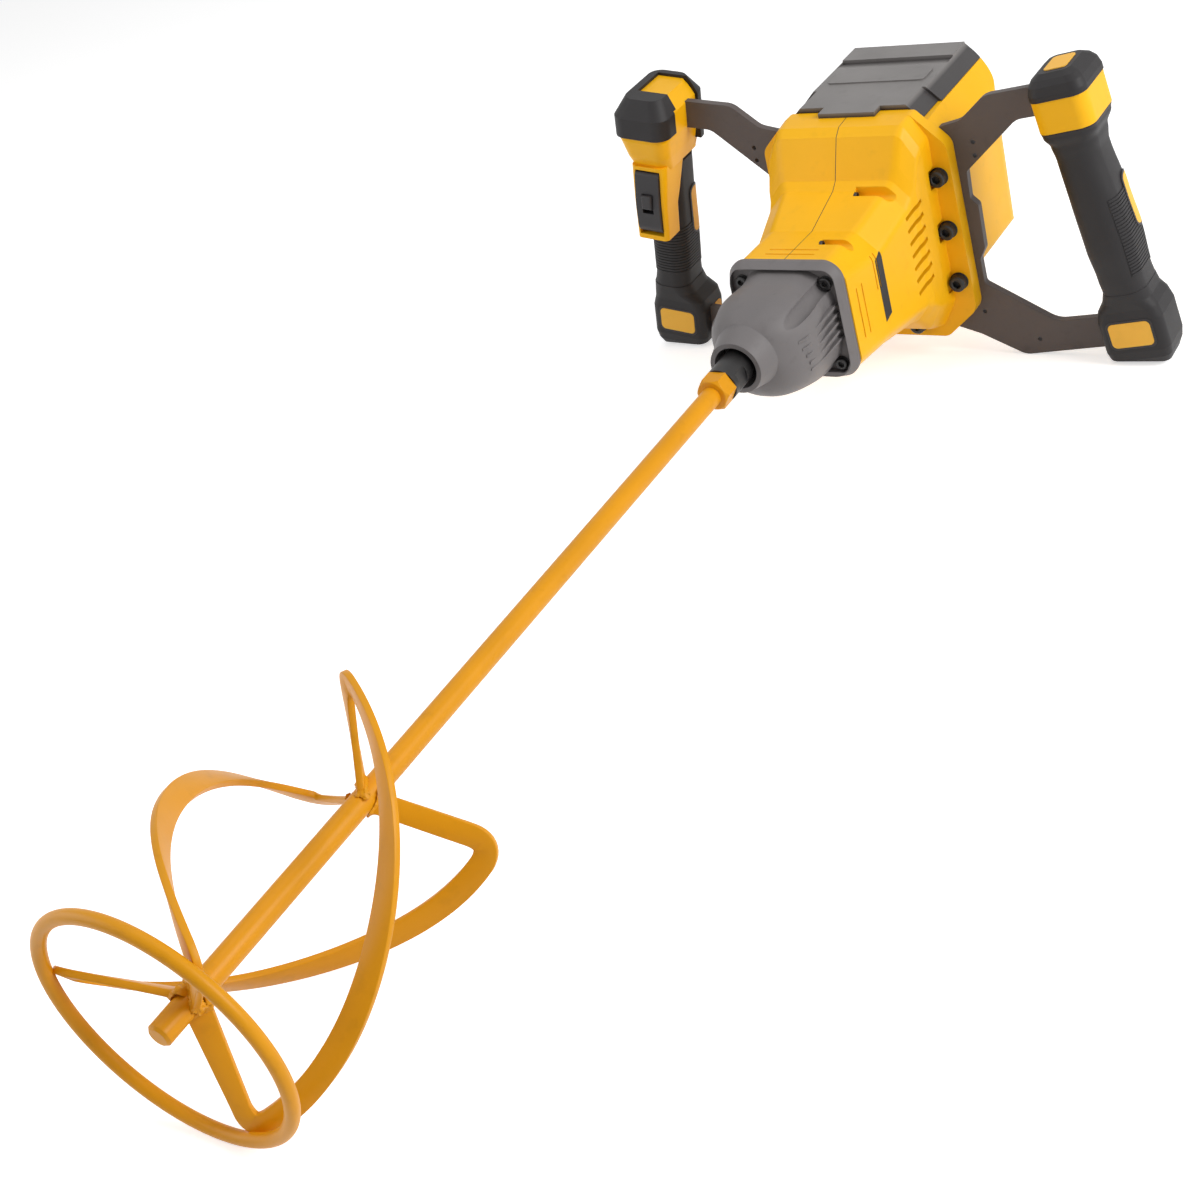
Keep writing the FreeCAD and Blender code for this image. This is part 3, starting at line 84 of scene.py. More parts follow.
class MixerSizes(bpy.types.PropertyGroup):
    """Sizes of the pieces, in metres and radians"""
    handle_x: length("Handle distance", "From the middle to a handle, at the spindle", 0.181)
    handle_y: length("Handle station", "From the paddle's tip to the handles", 0.855)
    handle_splay: angle("Handle splay", "Lean of a handle, lower end outwards", 9.7)
    bolt_seat: length("Bolt head", "Height of a flange bolt's head", 0.007)
    channel_seat: length("Channel screw head", "Height of a gearbox screw's head", 0.004)
    shell_seat: length("Shell screw head", "Height of a shell screw's head", 0.0022)
    socket_share: amount("Socket", "Hexagon's corners over the head's radius", 0.52, max=0.8,
                         subtype="FACTOR")
    washer_share: amount("Washer", "Washer's radius over the head's radius", 1.12, max=1.3,
                         subtype="FACTOR")
    washer_thickness: length("Washer thickness", "Thickness of the washer under a head", 0.0009)
    rib_low: length("Lowest rib", "From the middle of a handle down to its lowest rib", 0.051)
    rib_rows: length("Rib rows", "Height of the rows of ribs on the right grip", 0.062)
    rib_rows_left: length("Left rib rows", "Height of the rows of ribs on the left grip", 0.041)
    rib_pitch: length("Rib pitch", "From one rib to the next", 0.0026)
    rib_width: length("Rib width", "Foot of a rib", 0.0018)
    rib_rise: length("Rib height", "How far a rib stands off the grip", 0.0006)
    palm_half: place("Palm inlay", "Half an inlay's depth and height", (0.0, 0.006, 0.020))
    palm_middle: place("Palm inlay's middle", "On the handle's axis system", (0.0, 0.010, 0.0))
    palm_rise: length("Palm inlay height", "How far the inlay stands off the grip", 0.0010)
    # Round a foot pad the dark border is painted shade, standing in for the shadow gap round the
    # pad
    border: length("Border", "Width of the dark border round an inlay or a pad", 0.0018)
    border_rise: length("Border height", "How far a border stands off its face", 0.0003)
    pad_half: place("Foot pad", "Half a front pad's width and height", (0.016, 0.0, 0.010))
    pad_middle: place("Foot pad's middle", "On the handle's axis system", (0.0, -0.0165, -0.09602))
    left_inset: length("Left foot", "How much nearer the machine the left foot stands", 0.003)
    plate_half: place("Lid plate", "Half its width and length", (0.040, 0.0105, 0.0))
    plate_middle: place("Lid plate's middle", "On top of the lid", (0.0, 0.9045, 0.0856))
    plate_rise: length("Lid plate height", "How far the plate stands off the lid", 0.0009)
    seam_half: length("Seam", "Half the width of the joint between the shells", 0.00025)
    stripe_low: place("Stripe's foot", "Lower front corner of a stripe", (0.0, 0.7485, -0.037))
    stripe_high: place("Stripe's head", "Upper rear corner of a stripe", (0.0, 0.7575, 0.016))
    stripe_rise: length("Stripe height", "Thickness of the stripe", 0.00025)
    # Vent shade: a dark screen behind the vents, painted shade in their openings
    filter_middle: place("Vent filter", "Middle of the right filter", (0.0512, 0.806, -0.0075))
    filter_half: place("Filter's half size", "Along the machine and upright", (0.0, 0.013, 0.036))
    blade_start: length("Blade start", "From the paddle's tip to a blade's lower edge", 0.004)
    blade_height: length("Blade height", "Along the shaft", 0.194)
    blade_radius: length("Blade radius", "From the shaft's axis to the middle of a strip", 0.0707)
    blade_bulge: length("Blade bulge", "How much further out a strip stands at half height", 0.0027)
    blade_flare: length("Blade flare", "How much further out a strip stands at the ring", 0.003)
    flare_height: length("Flare height", "Height in which the flare dies out", 0.040)
    blade_width: length("Strip width", "Width of a blade's strip", 0.0138)
    blade_thickness: length("Strip thickness", "Thickness of a blade", 0.004)
    blade_corner: length("Blade corner", "Length of each leg of a blade's bend", 0.014)
    blade_edge: length("Blade edge", "Rounding of a blade's edges", 0.0007)
    blade_middle: angle("Blade direction", "First blade at half height, from +X to +Z", 129.8)
    blade_twist: angle("Blade twist", "Even twist from half height to either end", 65.0)
    blade_quicken: angle("Twist quickens", "Further twist towards either end", 21.7)
    shaft_radius: length("Paddle shaft", "Radius of the paddle's shaft", 0.007)
    low_root: place("Lower weld", "Foot of the first lower arm", (0.00515, 0.02605, 0.00474))
    high_root: place("Upper weld", "Foot of the first upper arm", (-0.00597, 0.17245, -0.00366))
    weld_leg: length("Weld leg", "How far a weld climbs the arm", 0.0022)
    weld_span: length("Weld span", "Half the length of shaft that a weld may take", 0.014)
    weld_rise: length("Weld height", "How far a weld stands off the arm", 0.0018)
    louvre_middle: place("Louvre", "Middle of the louvre in the back", (0.0, 0.962, -0.012))
    louvre_half: place("Louvre's half size", "Half its width and height", (0.036, 0.0, 0.034))
    louvre_rise: length("Louvre height", "How far its frame stands off the housing", 0.0007)
    floor_size: length("Floor", "Side of the square floor", 9.0)
    floor_lift: amount("Floor white", "Brightness added where the floor is seen", 0.60)
    surround_light: amount("Surround", "Light of the white surround", 0.27)
    key_power: amount("Key light", "Soft light from the right", 40.0, unit="POWER")
    top_power: amount("Top light", "Soft light from above", 11.0, unit="POWER")
    fill_power: amount("Fill light", "Soft light from the front left", 13.0, unit="POWER")
    camera_lens: amount("Lens", "Focal length on the sensor", 54.87, unit="CAMERA")
    camera_place: place("Camera", "Where the camera stands", (0.6309, -0.3209, 0.5950))
    camera_right: place("Camera right", "To the right of the image", (0.8299, 0.4950, -0.2572))
    camera_up: place("Camera up", "To the top of the image", (-0.1113, 0.5988, 0.7932))


class MixerColours(bpy.types.PropertyGroup):
    """Base colours of the finishes, and the painted sheen on the lid's top"""
    yellow_housing: tint("Housing", "Yellow moulded plastic", (0.96, 0.49, 0.003))
    handle_rubber: tint("Rubber", "Rubber of grips, feet and bumpers", (0.017, 0.0152, 0.016))
    paddle_paint: tint("Paddle", "Amber paint of the paddle", (0.74, 0.31, 0.003))
    machined_steel: tint("Machined steel", "Bright steel of shafts and gears", (0.50, 0.49, 0.47))
    black_steel: tint("Blackened steel", "Spindle, screws and bolts", (0.012, 0.011, 0.011))
    grey_casting: tint("Casting", "Painted casting of the gearbox", (0.160, 0.148, 0.148))
    bronze: tint("Bronze", "Bushes and windings", (0.42, 0.20, 0.07))
    black_plastic: tint("Black plastic", "Trigger, fan and battery", (0.026, 0.024, 0.026))
    grey_lid: tint("Lid", "Dark grey plastic of the battery lid", (0.045, 0.041, 0.041))
    # Painted sheen: the lighter grey painted on the lid's top, standing in for reflected light
    lid_crown: tint("Lid's top", "Rubbed top of the battery lid", (0.190, 0.178, 0.172))
    orange_pad: tint("Pads", "Amber pads of feet and cap", (0.98, 0.53, 0.070))
    dark_plate: tint("Plates", "Coated plates of the brackets", (0.098, 0.080, 0.075))
    seal_rubber: tint("Seal", "Rubber of the spindle seal", (0.015, 0.014, 0.014))


# Directions, and both sides of the machine
X, Y, Z = Vector((1, 0, 0)), Vector((0, 1, 0)), Vector((0, 0, 1))
SIDES = ((1, "right"), (-1, "left"))

# Points nearer than the first are one; points nearer than the second to a cut lie on it
SAME_POINT, CUT_REACH = 1e-6, 1e-7
# Faces that meet at a sharper angle show an edge
SMOOTH_ANGLE = math.radians(32)
OUTLINE_STEPS = 16

# Roughness, metal, grain depth, grain size in metres, mottling, scuffs and shine of each finish
FINISHES = {
    "yellow_housing": (0.42, 0.0, 0.10, 0.0008, 0.04, 0.05, 0.28),
    "handle_rubber": (0.52, 0.0, 0.30, 0.0007, 0.10, 0.05, 0.30),
    "paddle_paint": (0.40, 0.0, 0.16, 0.0030, 0.06, 0.07, 0.25),
    "machined_steel": (0.30, 1.0, 0.06, 0.0006, 0.08, 0.10, 0.50),
    "black_steel": (0.40, 0.0, 0.08, 0.0008, 0.12, 0.12, 0.45),
    "grey_casting": (0.50, 0.0, 0.22, 0.0016, 0.06, 0.10, 0.35),
    "bronze": (0.35, 1.0, 0.06, 0.0006, 0.10, 0.05, 0.50),
    "black_plastic": (0.45, 0.0, 0.14, 0.0006, 0.08, 0.05, 0.35),
    "grey_lid": (0.42, 0.0, 0.14, 0.0007, 0.06, 0.08, 0.35),
    "orange_pad": (0.46, 0.0, 0.14, 0.0007, 0.05, 0.04, 0.25),
    "dark_plate": (0.50, 0.0, 0.16, 0.0008, 0.08, 0.12, 0.35),
    "seal_rubber": (0.60, 0.0, 0.12, 0.0007, 0.05, 0.0, 0.30),
}

# Nodes that are blackened where they show
DARKENED = {"spindle": "black_steel"}

# Noise of the finishes, as scale and detail, and the levels between which it changes a colour
MOTTLING, MOTTLE_STOPS = (14.0, 4.0), (0.32, 0.68)
# Speckle and levels of the painted sheen on the lid's top
SHEEN_SPECKLE, SHEEN_STOPS = (22.0, 5.0), (0.30, 0.70)
SCUFFING, SCUFF_STOPS = (95.0, 6.0), (0.28, 0.42)
GLOSS, GLOSS_SPREAD = (38.0, 5.0), (-0.06, 0.08)
GRAIN_DETAIL, GRAIN_DEPTH = 2.0, 0.0003
EDGE_SAMPLES, EDGE_RADIUS = 4, 0.0006
# The painted sheen on the lid's top: shades either way of its colour, and the depths below the
# plate where it fades in
SHEEN_SPREAD, SHEEN_DEPTHS = 0.1, (0.0030, 0.0002)

# A screw's shank and crown over its head's radius; its point's radius over the shank's, and the
# shank's radius over the point's length
SCREW_SHANK, SCREW_CROWN, SCREW_POINT, POINT_STEEPNESS = 0.47, 0.14, 0.7, 3
# Its washer and its socket's depth over the head's height, and its mouth over the crown
WASHER_LIMIT, SOCKET_DEPTH, SOCKET_MOUTH = 0.2, 0.5, 0.5
# The rim of a socket over the hexagon's corners, and how far out its edges are looked for
SOCKET_RIM, RIM_REACH = 1.08, 1.1
SCREW_STEPS = 48

# Levels of a grip from its foot upwards: height, half width, half depth, corner, shift outwards
# and backwards
GRIPS = {
    "right": ((-0.0640, 0.0168, 0.0208, 0.0130, 0.0020, 0.0015),
              (-0.0500, 0.0169, 0.0209, 0.0135, 0.0014, 0.0006),
              (-0.0250, 0.0180, 0.0222, 0.0140, 0.0012, 0.0),
              (0.0100, 0.0176, 0.0218, 0.0140, 0.0, 0.0),
              (0.0470, 0.0167, 0.0207, 0.0138, -0.0018, 0.0),
              (0.0580, 0.0176, 0.0216, 0.0128, -0.0014, 0.0),
              (0.0670, 0.0202, 0.0242, 0.0105, -0.0004, 0.0),
              (0.0712, 0.0208, 0.0248, 0.0100, 0.0, 0.0)),
    "left": ((-0.0640, 0.0166, 0.0206, 0.0130, 0.0020, 0.0015),
             (-0.0500, 0.0158, 0.0198, 0.0130, 0.0014, 0.0020),
             (-0.0250, 0.0160, 0.0198, 0.0132, 0.0012, 0.0022),
             (0.0100, 0.0156, 0.0194, 0.0130, 0.0010, 0.0022),
             (0.0540, 0.0152, 0.0190, 0.0125, 0.0, 0.0020)),
}
GRIP_TURNS, GRIP_STEPS = 48, 8

# Arms of a blade: radius, height and lead of the foot; radius and height of the corner; widths
# and leans at both ends
LOW_ARM = (0.0035, 0.02205, -7.7, 0.0733, 0.0030, (0.0140, 0.0101), (48.0, 59.0))
HIGH_ARM = (0.0035, 0.16845, 4.0, 0.0707, 0.1880, (0.0122, 0.0129), (33.4, 54.6))
BLADES, ARM_STEPS, BEND_STEPS, STRIP_STEPS = 3, 8, 12, 56
# Sharper edges of a blade are rounded
BROKEN_ANGLE = math.radians(50)

# Over the shaft's radius: what of an arm lies on the shaft, and where its weld ends inside it
ON_SHAFT, WELD_END = 1.005, 0.98
# How much further than that a weld is drawn to the shaft, its rise over its depth in the arm, and
# the cuts that make it fine enough to ripple
WELD_REACH, WELD_SINK, WELD_CUTS = 1.06, 4, 3
# A weld's thinnest share, its mean swell, its ripple and how dense the ripple is
WELD_LEAST, WELD_SWELL, WELD_RIPPLE, RIPPLE_SCALE = 0.08, 0.8, 0.5, 900

# Ribs: the outside of a grip, how much a face has to look there, and how much a rib tapers
RIB_OUTSIDE, RIB_TAPER = Vector((0.8, 0.6, 0)), 0.45
RIB_FACING = {"right": 0.1, "left": -2.0}

# How much a face has to look outwards to be covered, and the corners of what covers it
PALM_FACING, PALM_CORNER_SHARE = 0.1, 0.95
PAD_FACING, PAD_CORNER = 0.8, 0.005
LOUVRE_FACING, FRAME_CORNER, GRILLE_CORNER = 0.6, 0.008, 0.006
# The lid's plate also with how deep the lid is taken and how much the plate tapers
PLATE_FACING, PLATE_CORNER, PLATE_SEARCH, PLATE_TAPER = 0.9, 0.003, 0.001, 0.02
# The shells' joint with its lowest height, and its half width over its rise
SEAM_FACING, SEAM_LOW, SEAM_FLATNESS = 0.25, 0.025, 8
# The stripes with how far out the flank is taken, and their slant
STRIPE_FACING, STRIPE_INSIDE, STRIPE_SLANT = 0.7, 0.03, -0.35

# The vent shade sheet, a dark screen behind the vents as painted shade: its cells, and its length's
# half over the width of a wall, the depth and the thickness
VENT_SHADE_CELLS, VENT_SHADE_WALL, VENT_SHADE_DEPTH, VENT_SHADE_THICKNESS = (10, 26), 40, 30, 12

# Rise of grille and bars over the frame's, the bars' length over the louvre's, and the louvre's
# half height over a bar's pitch, half height and corner
GRILLE_RISE, BAR_RISE, BAR_LENGTH = 1.4, 2.6, 0.93
BAR_PITCH, BAR_HALF, BAR_CORNER = 3.6, 12, 16
BARS = range(-3, 4)

# Stage: the floor's gap under the brackets, its grey and roughness, what the lamps look at, and
# each lamp's name, place and side
FLOOR_GAP, FLOOR_GREY, FLOOR_ROUGHNESS = 0.0005, 0.90, 0.8
AIM = Vector((0.0, 0.62, 0.0))
LAMPS = (("key", (2.0, 0.75, 1.2), 1.2),
         ("top", (-0.2, 0.9, 2.2), 1.8),
         ("fill", (-1.5, -0.5, 0.9), 1.4))
WHITE = (1.0, 1.0, 1.0, 1.0)
SENSOR_WIDTH, NEAR_CLIP = 36.0, 0.01


def sizes():
    return bpy.context.scene.mixer_sizes


def colours():
    return bpy.context.scene.mixer_colours


def blend(start, end, share):
    return start + (end - start) * share


def finish(slot):
    """The slot's material: mottled colour, scuffs, uneven gloss, fine grain and softened edges; on
    the lid, a painted sheen, a lighter top standing in for reflected light.
    """
    name = "finish_%s" % slot
    if name in bpy.data.materials:
        return bpy.data.materials[name]
    roughness, metal, grain, grain_size, mottle, scuff, shine = FINISHES[slot]
    colour = Vector(getattr(colours(), slot))
    material = bpy.data.materials.new(name)
    material.use_nodes = True
    nodes, links = material.node_tree.nodes, material.node_tree.links
    shader = nodes["Principled BSDF"]
    shader.inputs["Base Color"].default_value = (*colour, 1.0)
    shader.inputs["Metallic"].default_value = metal
    shader.inputs["Roughness"].default_value = roughness
    shader.inputs["Specular IOR Level"].default_value = shine
    where = nodes.new("ShaderNodeTexCoord")

    def speckle(scale, detail):
        texture = nodes.new("ShaderNodeTexNoise")
        texture.inputs["Scale"].default_value = scale
        texture.inputs["Detail"].default_value = detail
        links.new(where.outputs["Object"], texture.inputs["Vector"])
        return texture.outputs["Fac"]

    def ramp(value, stops, shades):
        node = nodes.new("ShaderNodeValToRGB")
        for element, position, shade in zip(node.color_ramp.elements, stops, shades):
            element.position = position
            element.color = (*shade, 1.0)
        links.new(value, node.inputs["Fac"])
        return node.outputs["Color"]

    def mix(first, second):
        node = nodes.new("ShaderNodeMix")
        node.data_type = "RGBA"
        links.new(first, node.inputs["A"])
        links.new(second, node.inputs["B"])
        return node

    shade = ramp(speckle(*MOTTLING), MOTTLE_STOPS, (colour * (1 - mottle), colour * (1 + mottle)))
    # The lid's top is painted lighter, a painted sheen standing in for reflected light, fading in
    # just below the plate's seat
    if slot == "grey_lid":
        crown = Vector(colours().lid_crown)
        shades = (crown * (1 - SHEEN_SPREAD), crown * (1 + SHEEN_SPREAD))
        painted_sheen = ramp(speckle(*SHEEN_SPECKLE), SHEEN_STOPS, shades)
        height = nodes.new("ShaderNodeSeparateXYZ")
        links.new(where.outputs["Object"], height.inputs["Vector"])
        near_top = nodes.new("ShaderNodeMapRange")
        for end, depth in zip(("From Min", "From Max"), SHEEN_DEPTHS):
            near_top.inputs[end].default_value = sizes().plate_middle[2] - depth
        links.new(height.outputs["Z"], near_top.inputs["Value"])
        sheen_blend = mix(shade, painted_sheen)
        links.new(near_top.outputs["Result"], sheen_blend.inputs["Factor"])
        shade = sheen_blend.outputs["Result"]
    worn = mix(shade, ramp(speckle(*SCUFFING), SCUFF_STOPS, ((1 - scuff,) * 3, (1.0,) * 3)))
    worn.blend_type = "MULTIPLY"
    worn.inputs["Factor"].default_value = 1.0
    links.new(worn.outputs["Result"], shader.inputs["Base Color"])

    gloss = nodes.new("ShaderNodeMapRange")
    for end, spread in zip(("To Min", "To Max"), GLOSS_SPREAD):
        gloss.inputs[end].default_value = roughness + spread
    links.new(speckle(*GLOSS), gloss.inputs["Value"])
    links.new(gloss.outputs["Result"], shader.inputs["Roughness"])

    edge = nodes.new("ShaderNodeBevel")
    edge.samples = EDGE_SAMPLES
    edge.inputs["Radius"].default_value = EDGE_RADIUS
    bump = nodes.new("ShaderNodeBump")
    bump.inputs["Strength"].default_value = grain
    bump.inputs["Distance"].default_value = GRAIN_DEPTH
    links.new(speckle(1.0 / grain_size, GRAIN_DETAIL), bump.inputs["Height"])
    links.new(edge.outputs["Normal"], bump.inputs["Normal"])
    links.new(bump.outputs["Normal"], shader.inputs["Normal"])
    return material


def add_piece(name, bm, slot, body):
    """Merges doubled points, gives the mesh its finish and lets it ride on its body."""
    bmesh.ops.remove_doubles(bm, verts=bm.verts, dist=SAME_POINT)
    bmesh.ops.recalc_face_normals(bm, faces=bm.faces)
    if not bm.faces:
        bm.free()
        raise RuntimeError("%s has no faces" % name)
    mesh = bpy.data.meshes.new(name)
    bm.to_mesh(mesh)
    bm.free()
    mesh.shade_smooth()
    mesh.set_sharp_from_angle(angle=SMOOTH_ANGLE)
    piece = bpy.data.objects.new(name, mesh)
    bpy.context.scene.collection.objects.link(piece)
    mesh.materials.append(finish(slot))
    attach(piece, body)
    return piece


def merged_copy(node):
    """A CAD node's mesh with its doubled vertices merged."""
    bm = bmesh.new()
    bm.from_mesh(frame["nodes"][node].data)
    bmesh.ops.remove_doubles(bm, verts=bm.verts, dist=SAME_POINT)
    return bm


def islands(node):
    """Lowest and highest corner of each separate solid of a CAD node."""
    bm = merged_copy(node)
    left = dict.fromkeys(bm.verts)
    boxes = []
    while left:
        first = next(iter(left))
        del left[first]
        queue, group = [first], []
        while queue:
            vert = queue.pop()
            group.append(vert.co.copy())
            for other in [e.other_vert(vert) for e in vert.link_edges]:
                if other in left:
                    del left[other]
                    queue.append(other)
        low = Vector([min(p[i] for p in group) for i in range(3)])
        high = Vector([max(p[i] for p in group) for i in range(3)])
        boxes.append((low, high))
    bm.free()
    return boxes


def seen_strength(tree, socket, unseen, seen):
    """One strength for light that falls on things, another where it is seen, mirrored or shows
    through a pane."""
    path = tree.nodes.new("ShaderNodeLightPath")
    shown = path.outputs["Is Camera Ray"]
    for ray in ("Is Glossy Ray", "Is Transmission Ray"):
        either = tree.nodes.new("ShaderNodeMath")
        either.operation = "MAXIMUM"
        tree.links.new(shown, either.inputs[0])
        tree.links.new(path.outputs[ray], either.inputs[1])
        shown = either.outputs[0]
    strength = tree.nodes.new("ShaderNodeMapRange")
    strength.inputs["To Min"].default_value = unseen
    strength.inputs["To Max"].default_value = seen
    tree.links.new(shown, strength.inputs["Value"])
    tree.links.new(strength.outputs["Result"], socket)


def handle_frame(side):
    """From a handle drawn upright about its axis to its place; the left one is mirrored."""
    s = sizes()
    lean = Matrix.Rotation(-s.handle_splay, 4, "Y")
    right = Matrix.Translation((s.handle_x, s.handle_y, 0)) @ lean
    return right if side > 0 else Matrix.Scale(-1, 4, (1, 0, 0)) @ right


def handle_axes(side):
    """Directions across a handle, backwards and up along it."""
    turn = handle_frame(side).to_3x3()
    return [turn @ direction for direction in (X, Y, Z)]


def lathe(bm, profile, steps):
    """Turns an open profile of (radius, y) points about the Y axis."""
    verts = [bm.verts.new((radius, y, 0)) for radius, y in profile]
    edges = [bm.edges.new(pair) for pair in zip(verts, verts[1:])]
    bmesh.ops.spin(bm, geom=verts + edges, cent=(0, 0, 0), axis=(0, 1, 0), angle=math.tau,
                   steps=steps, use_merge=True)


def join(bm, one):
    """Adds a finished bmesh to another."""
    mesh = bpy.data.meshes.new("joined")
    one.to_mesh(mesh)
    one.free()
    bm.from_mesh(mesh)
    bpy.data.meshes.remove(mesh)


def made_of(kind, geometry):
    return [g for g in geometry if isinstance(g, kind)]


def sweep(bm, sections):
    """Closed bar through sections of as many points each."""
    ring = bmesh.ops.create_circle(bm, segments=len(sections[0]), radius=1.0)["verts"]
    for vert, point in zip(ring, sections[0]):
        vert.co = point
    edges = bm.edges[:]
    start = edges
    for section in sections[1:]:
        made = bmesh.ops.extrude_edge_only(bm, edges=edges)["geom"]
        fresh = set(made_of(bmesh.types.BMVert, made))
        edges = [e for e in made_of(bmesh.types.BMEdge, made) if all(v in fresh for v in e.verts)]
        ring = [next(e.other_vert(v) for e in v.link_edges if e.other_vert(v) in fresh)
                for v in ring]
        for vert, point in zip(ring, section):
            vert.co = point
    for end in (start, edges):
        bmesh.ops.contextual_create(bm, geom=end)
    bmesh.ops.recalc_face_normals(bm, faces=bm.faces)


def grip_surface(name, side):
    """Sleeve of a handle, drawn through its levels to just short of the last."""
    levels = GRIPS[name]
    handle = handle_frame(side)
    turns = [math.tau * (i + 0.5) / GRIP_TURNS for i in range(GRIP_TURNS)]
    sections = []
    for low, high in zip(levels, levels[1:]):
        for step in range(GRIP_STEPS):
            share = step / GRIP_STEPS
            ease = share * share * (3 - 2 * share)
            z = blend(low[0], high[0], share)
            wide, deep, corner, out, back = [blend(a, b, ease) for a, b in zip(low[1:], high[1:])]
            section = []
            for turn in turns:
                cos, sin = math.cos(turn), math.sin(turn)
                x = out + math.copysign(wide - corner, cos) + corner * cos
                y = back + math.copysign(deep - corner, sin) + corner * sin
                section.append(handle @ Vector((x, y, z)))
            sections.append(section)
    bm = bmesh.new()
    sweep(bm, sections)
    return bm


def blade_turn(index):
    """Rotation from the first blade to another."""
    return Matrix.Rotation(math.radians(360 // BLADES * index), 3, "Y")


def blade_stations():
    """Points along the middle of the first blade, each with its lean and its half width."""
    s = sizes()

    def polar(radius, y, turn):
        return Vector((radius * math.cos(turn), y, radius * math.sin(turn)))

    def share(y):
        return 2 * y / s.blade_height - 1

    def turn(y):
        return s.blade_middle + s.blade_twist * share(y) + s.blade_quicken * share(y) ** 3

    def radius(y):
        bulge = s.blade_bulge * (1 - share(y) ** 2)
        flare = s.blade_flare * max(0, 1 - y / s.flare_height) ** 2
        return s.blade_radius + bulge + flare

    def lean(y):
        twist = s.blade_twist + 3 * s.blade_quicken * share(y) ** 2
        return math.atan(radius(y) * twist * 2 / s.blade_height)

    def arm(shape, inward):
        """Stations from the foot to the strip, and the height where the strip begins."""
        foot_radius, foot_y, lead, corner_radius, corner_y, widths, leans = shape
        corner = polar(corner_radius, corner_y, turn(corner_y))
        foot = polar(foot_radius, foot_y, turn(corner_y) + math.radians(lead))
        bend = corner + (foot - corner).normalized() * s.blade_corner
        strip_y = corner_y + inward * s.blade_corner * math.cos(lean(corner_y))
        end = polar(radius(strip_y), strip_y, turn(strip_y))
        made = []
        for i in range(ARM_STEPS + 1):
            k = i / ARM_STEPS
            made.append((foot.lerp(bend, k), math.radians(blend(*leans, k)), blend(*widths, k) / 2))
        last_lean, last_half = made[-1][1:]
        for i in range(1, BEND_STEPS):
            k = i / BEND_STEPS
            point = bend.lerp(corner, k).lerp(corner.lerp(end, k), k)
            made.append((point, blend(last_lean, lean(strip_y), k),
                         blend(last_half, s.blade_width / 2, k)))
        return made, strip_y

    low, first_y = arm(LOW_ARM, 1)
    high, last_y = arm(HIGH_ARM, -1)
    strip = []
    for i in range(STRIP_STEPS + 1):
        y = first_y + (last_y - first_y) * i / STRIP_STEPS
        strip.append((polar(radius(y), y, turn(y)), lean(y), s.blade_width / 2))
    return low + strip + high[::-1]


def clip(bm, planes):
    """Keeps what lies behind each plane, given as a point and a normal."""
    for point, normal in planes:
        bmesh.ops.bisect_plane(bm, geom=bm.verts[:] + bm.edges[:] + bm.faces[:], dist=CUT_REACH,
                               plane_co=point, plane_no=normal, clear_outer=True)


def skin(bm, planes, facing, least):
    """The part of a surface that lies behind the planes and faces a direction."""
    clip(bm, planes)
    bm.normal_update()
    direction = Vector(facing).normalized()
    away = [f for f in bm.faces if f.normal.dot(direction) < least]
    bmesh.ops.delete(bm, geom=away, context="FACES")
    if not bm.faces:
        raise RuntimeError("no such surface")
    return bm


def thicken(bm, sink, rise, swell=lambda point: 1.0):
    """Makes a skin a closed plate, from below the surface to proud of it; returns its upper
    vertices."""
    bm.normal_update()
    out = bm.verts.layers.float_vector.new("out")
    for vert in bm.verts:
        vert[out] = vert.normal
    raised = bmesh.ops.extrude_face_region(bm, geom=bm.faces[:])
    top = set(made_of(bmesh.types.BMVert, raised["geom"]))
    for vert in bm.verts:
        vert.co += vert[out] * (rise * swell(vert.co) if vert in top else -sink)
    bm.verts.layers.float_vector.remove(out)
    return [v for v in bm.verts if v in top]


def rounded_outline(middle, half, corner, first, second):
    """Planes round a rectangle with rounded corners, which lies along two directions."""
    planes = []
    for step in range(OUTLINE_STEPS):
        turn = math.tau / OUTLINE_STEPS * step
        a, b = math.cos(turn), math.sin(turn)
        across = math.copysign(half[0] - corner, a) if abs(a) > SAME_POINT else 0.0
        along = math.copysign(half[1] - corner, b) if abs(b) > SAME_POINT else 0.0
        normal = first * a + second * b
        planes.append((middle + first * across + second * along + normal * corner, normal))
    return planes


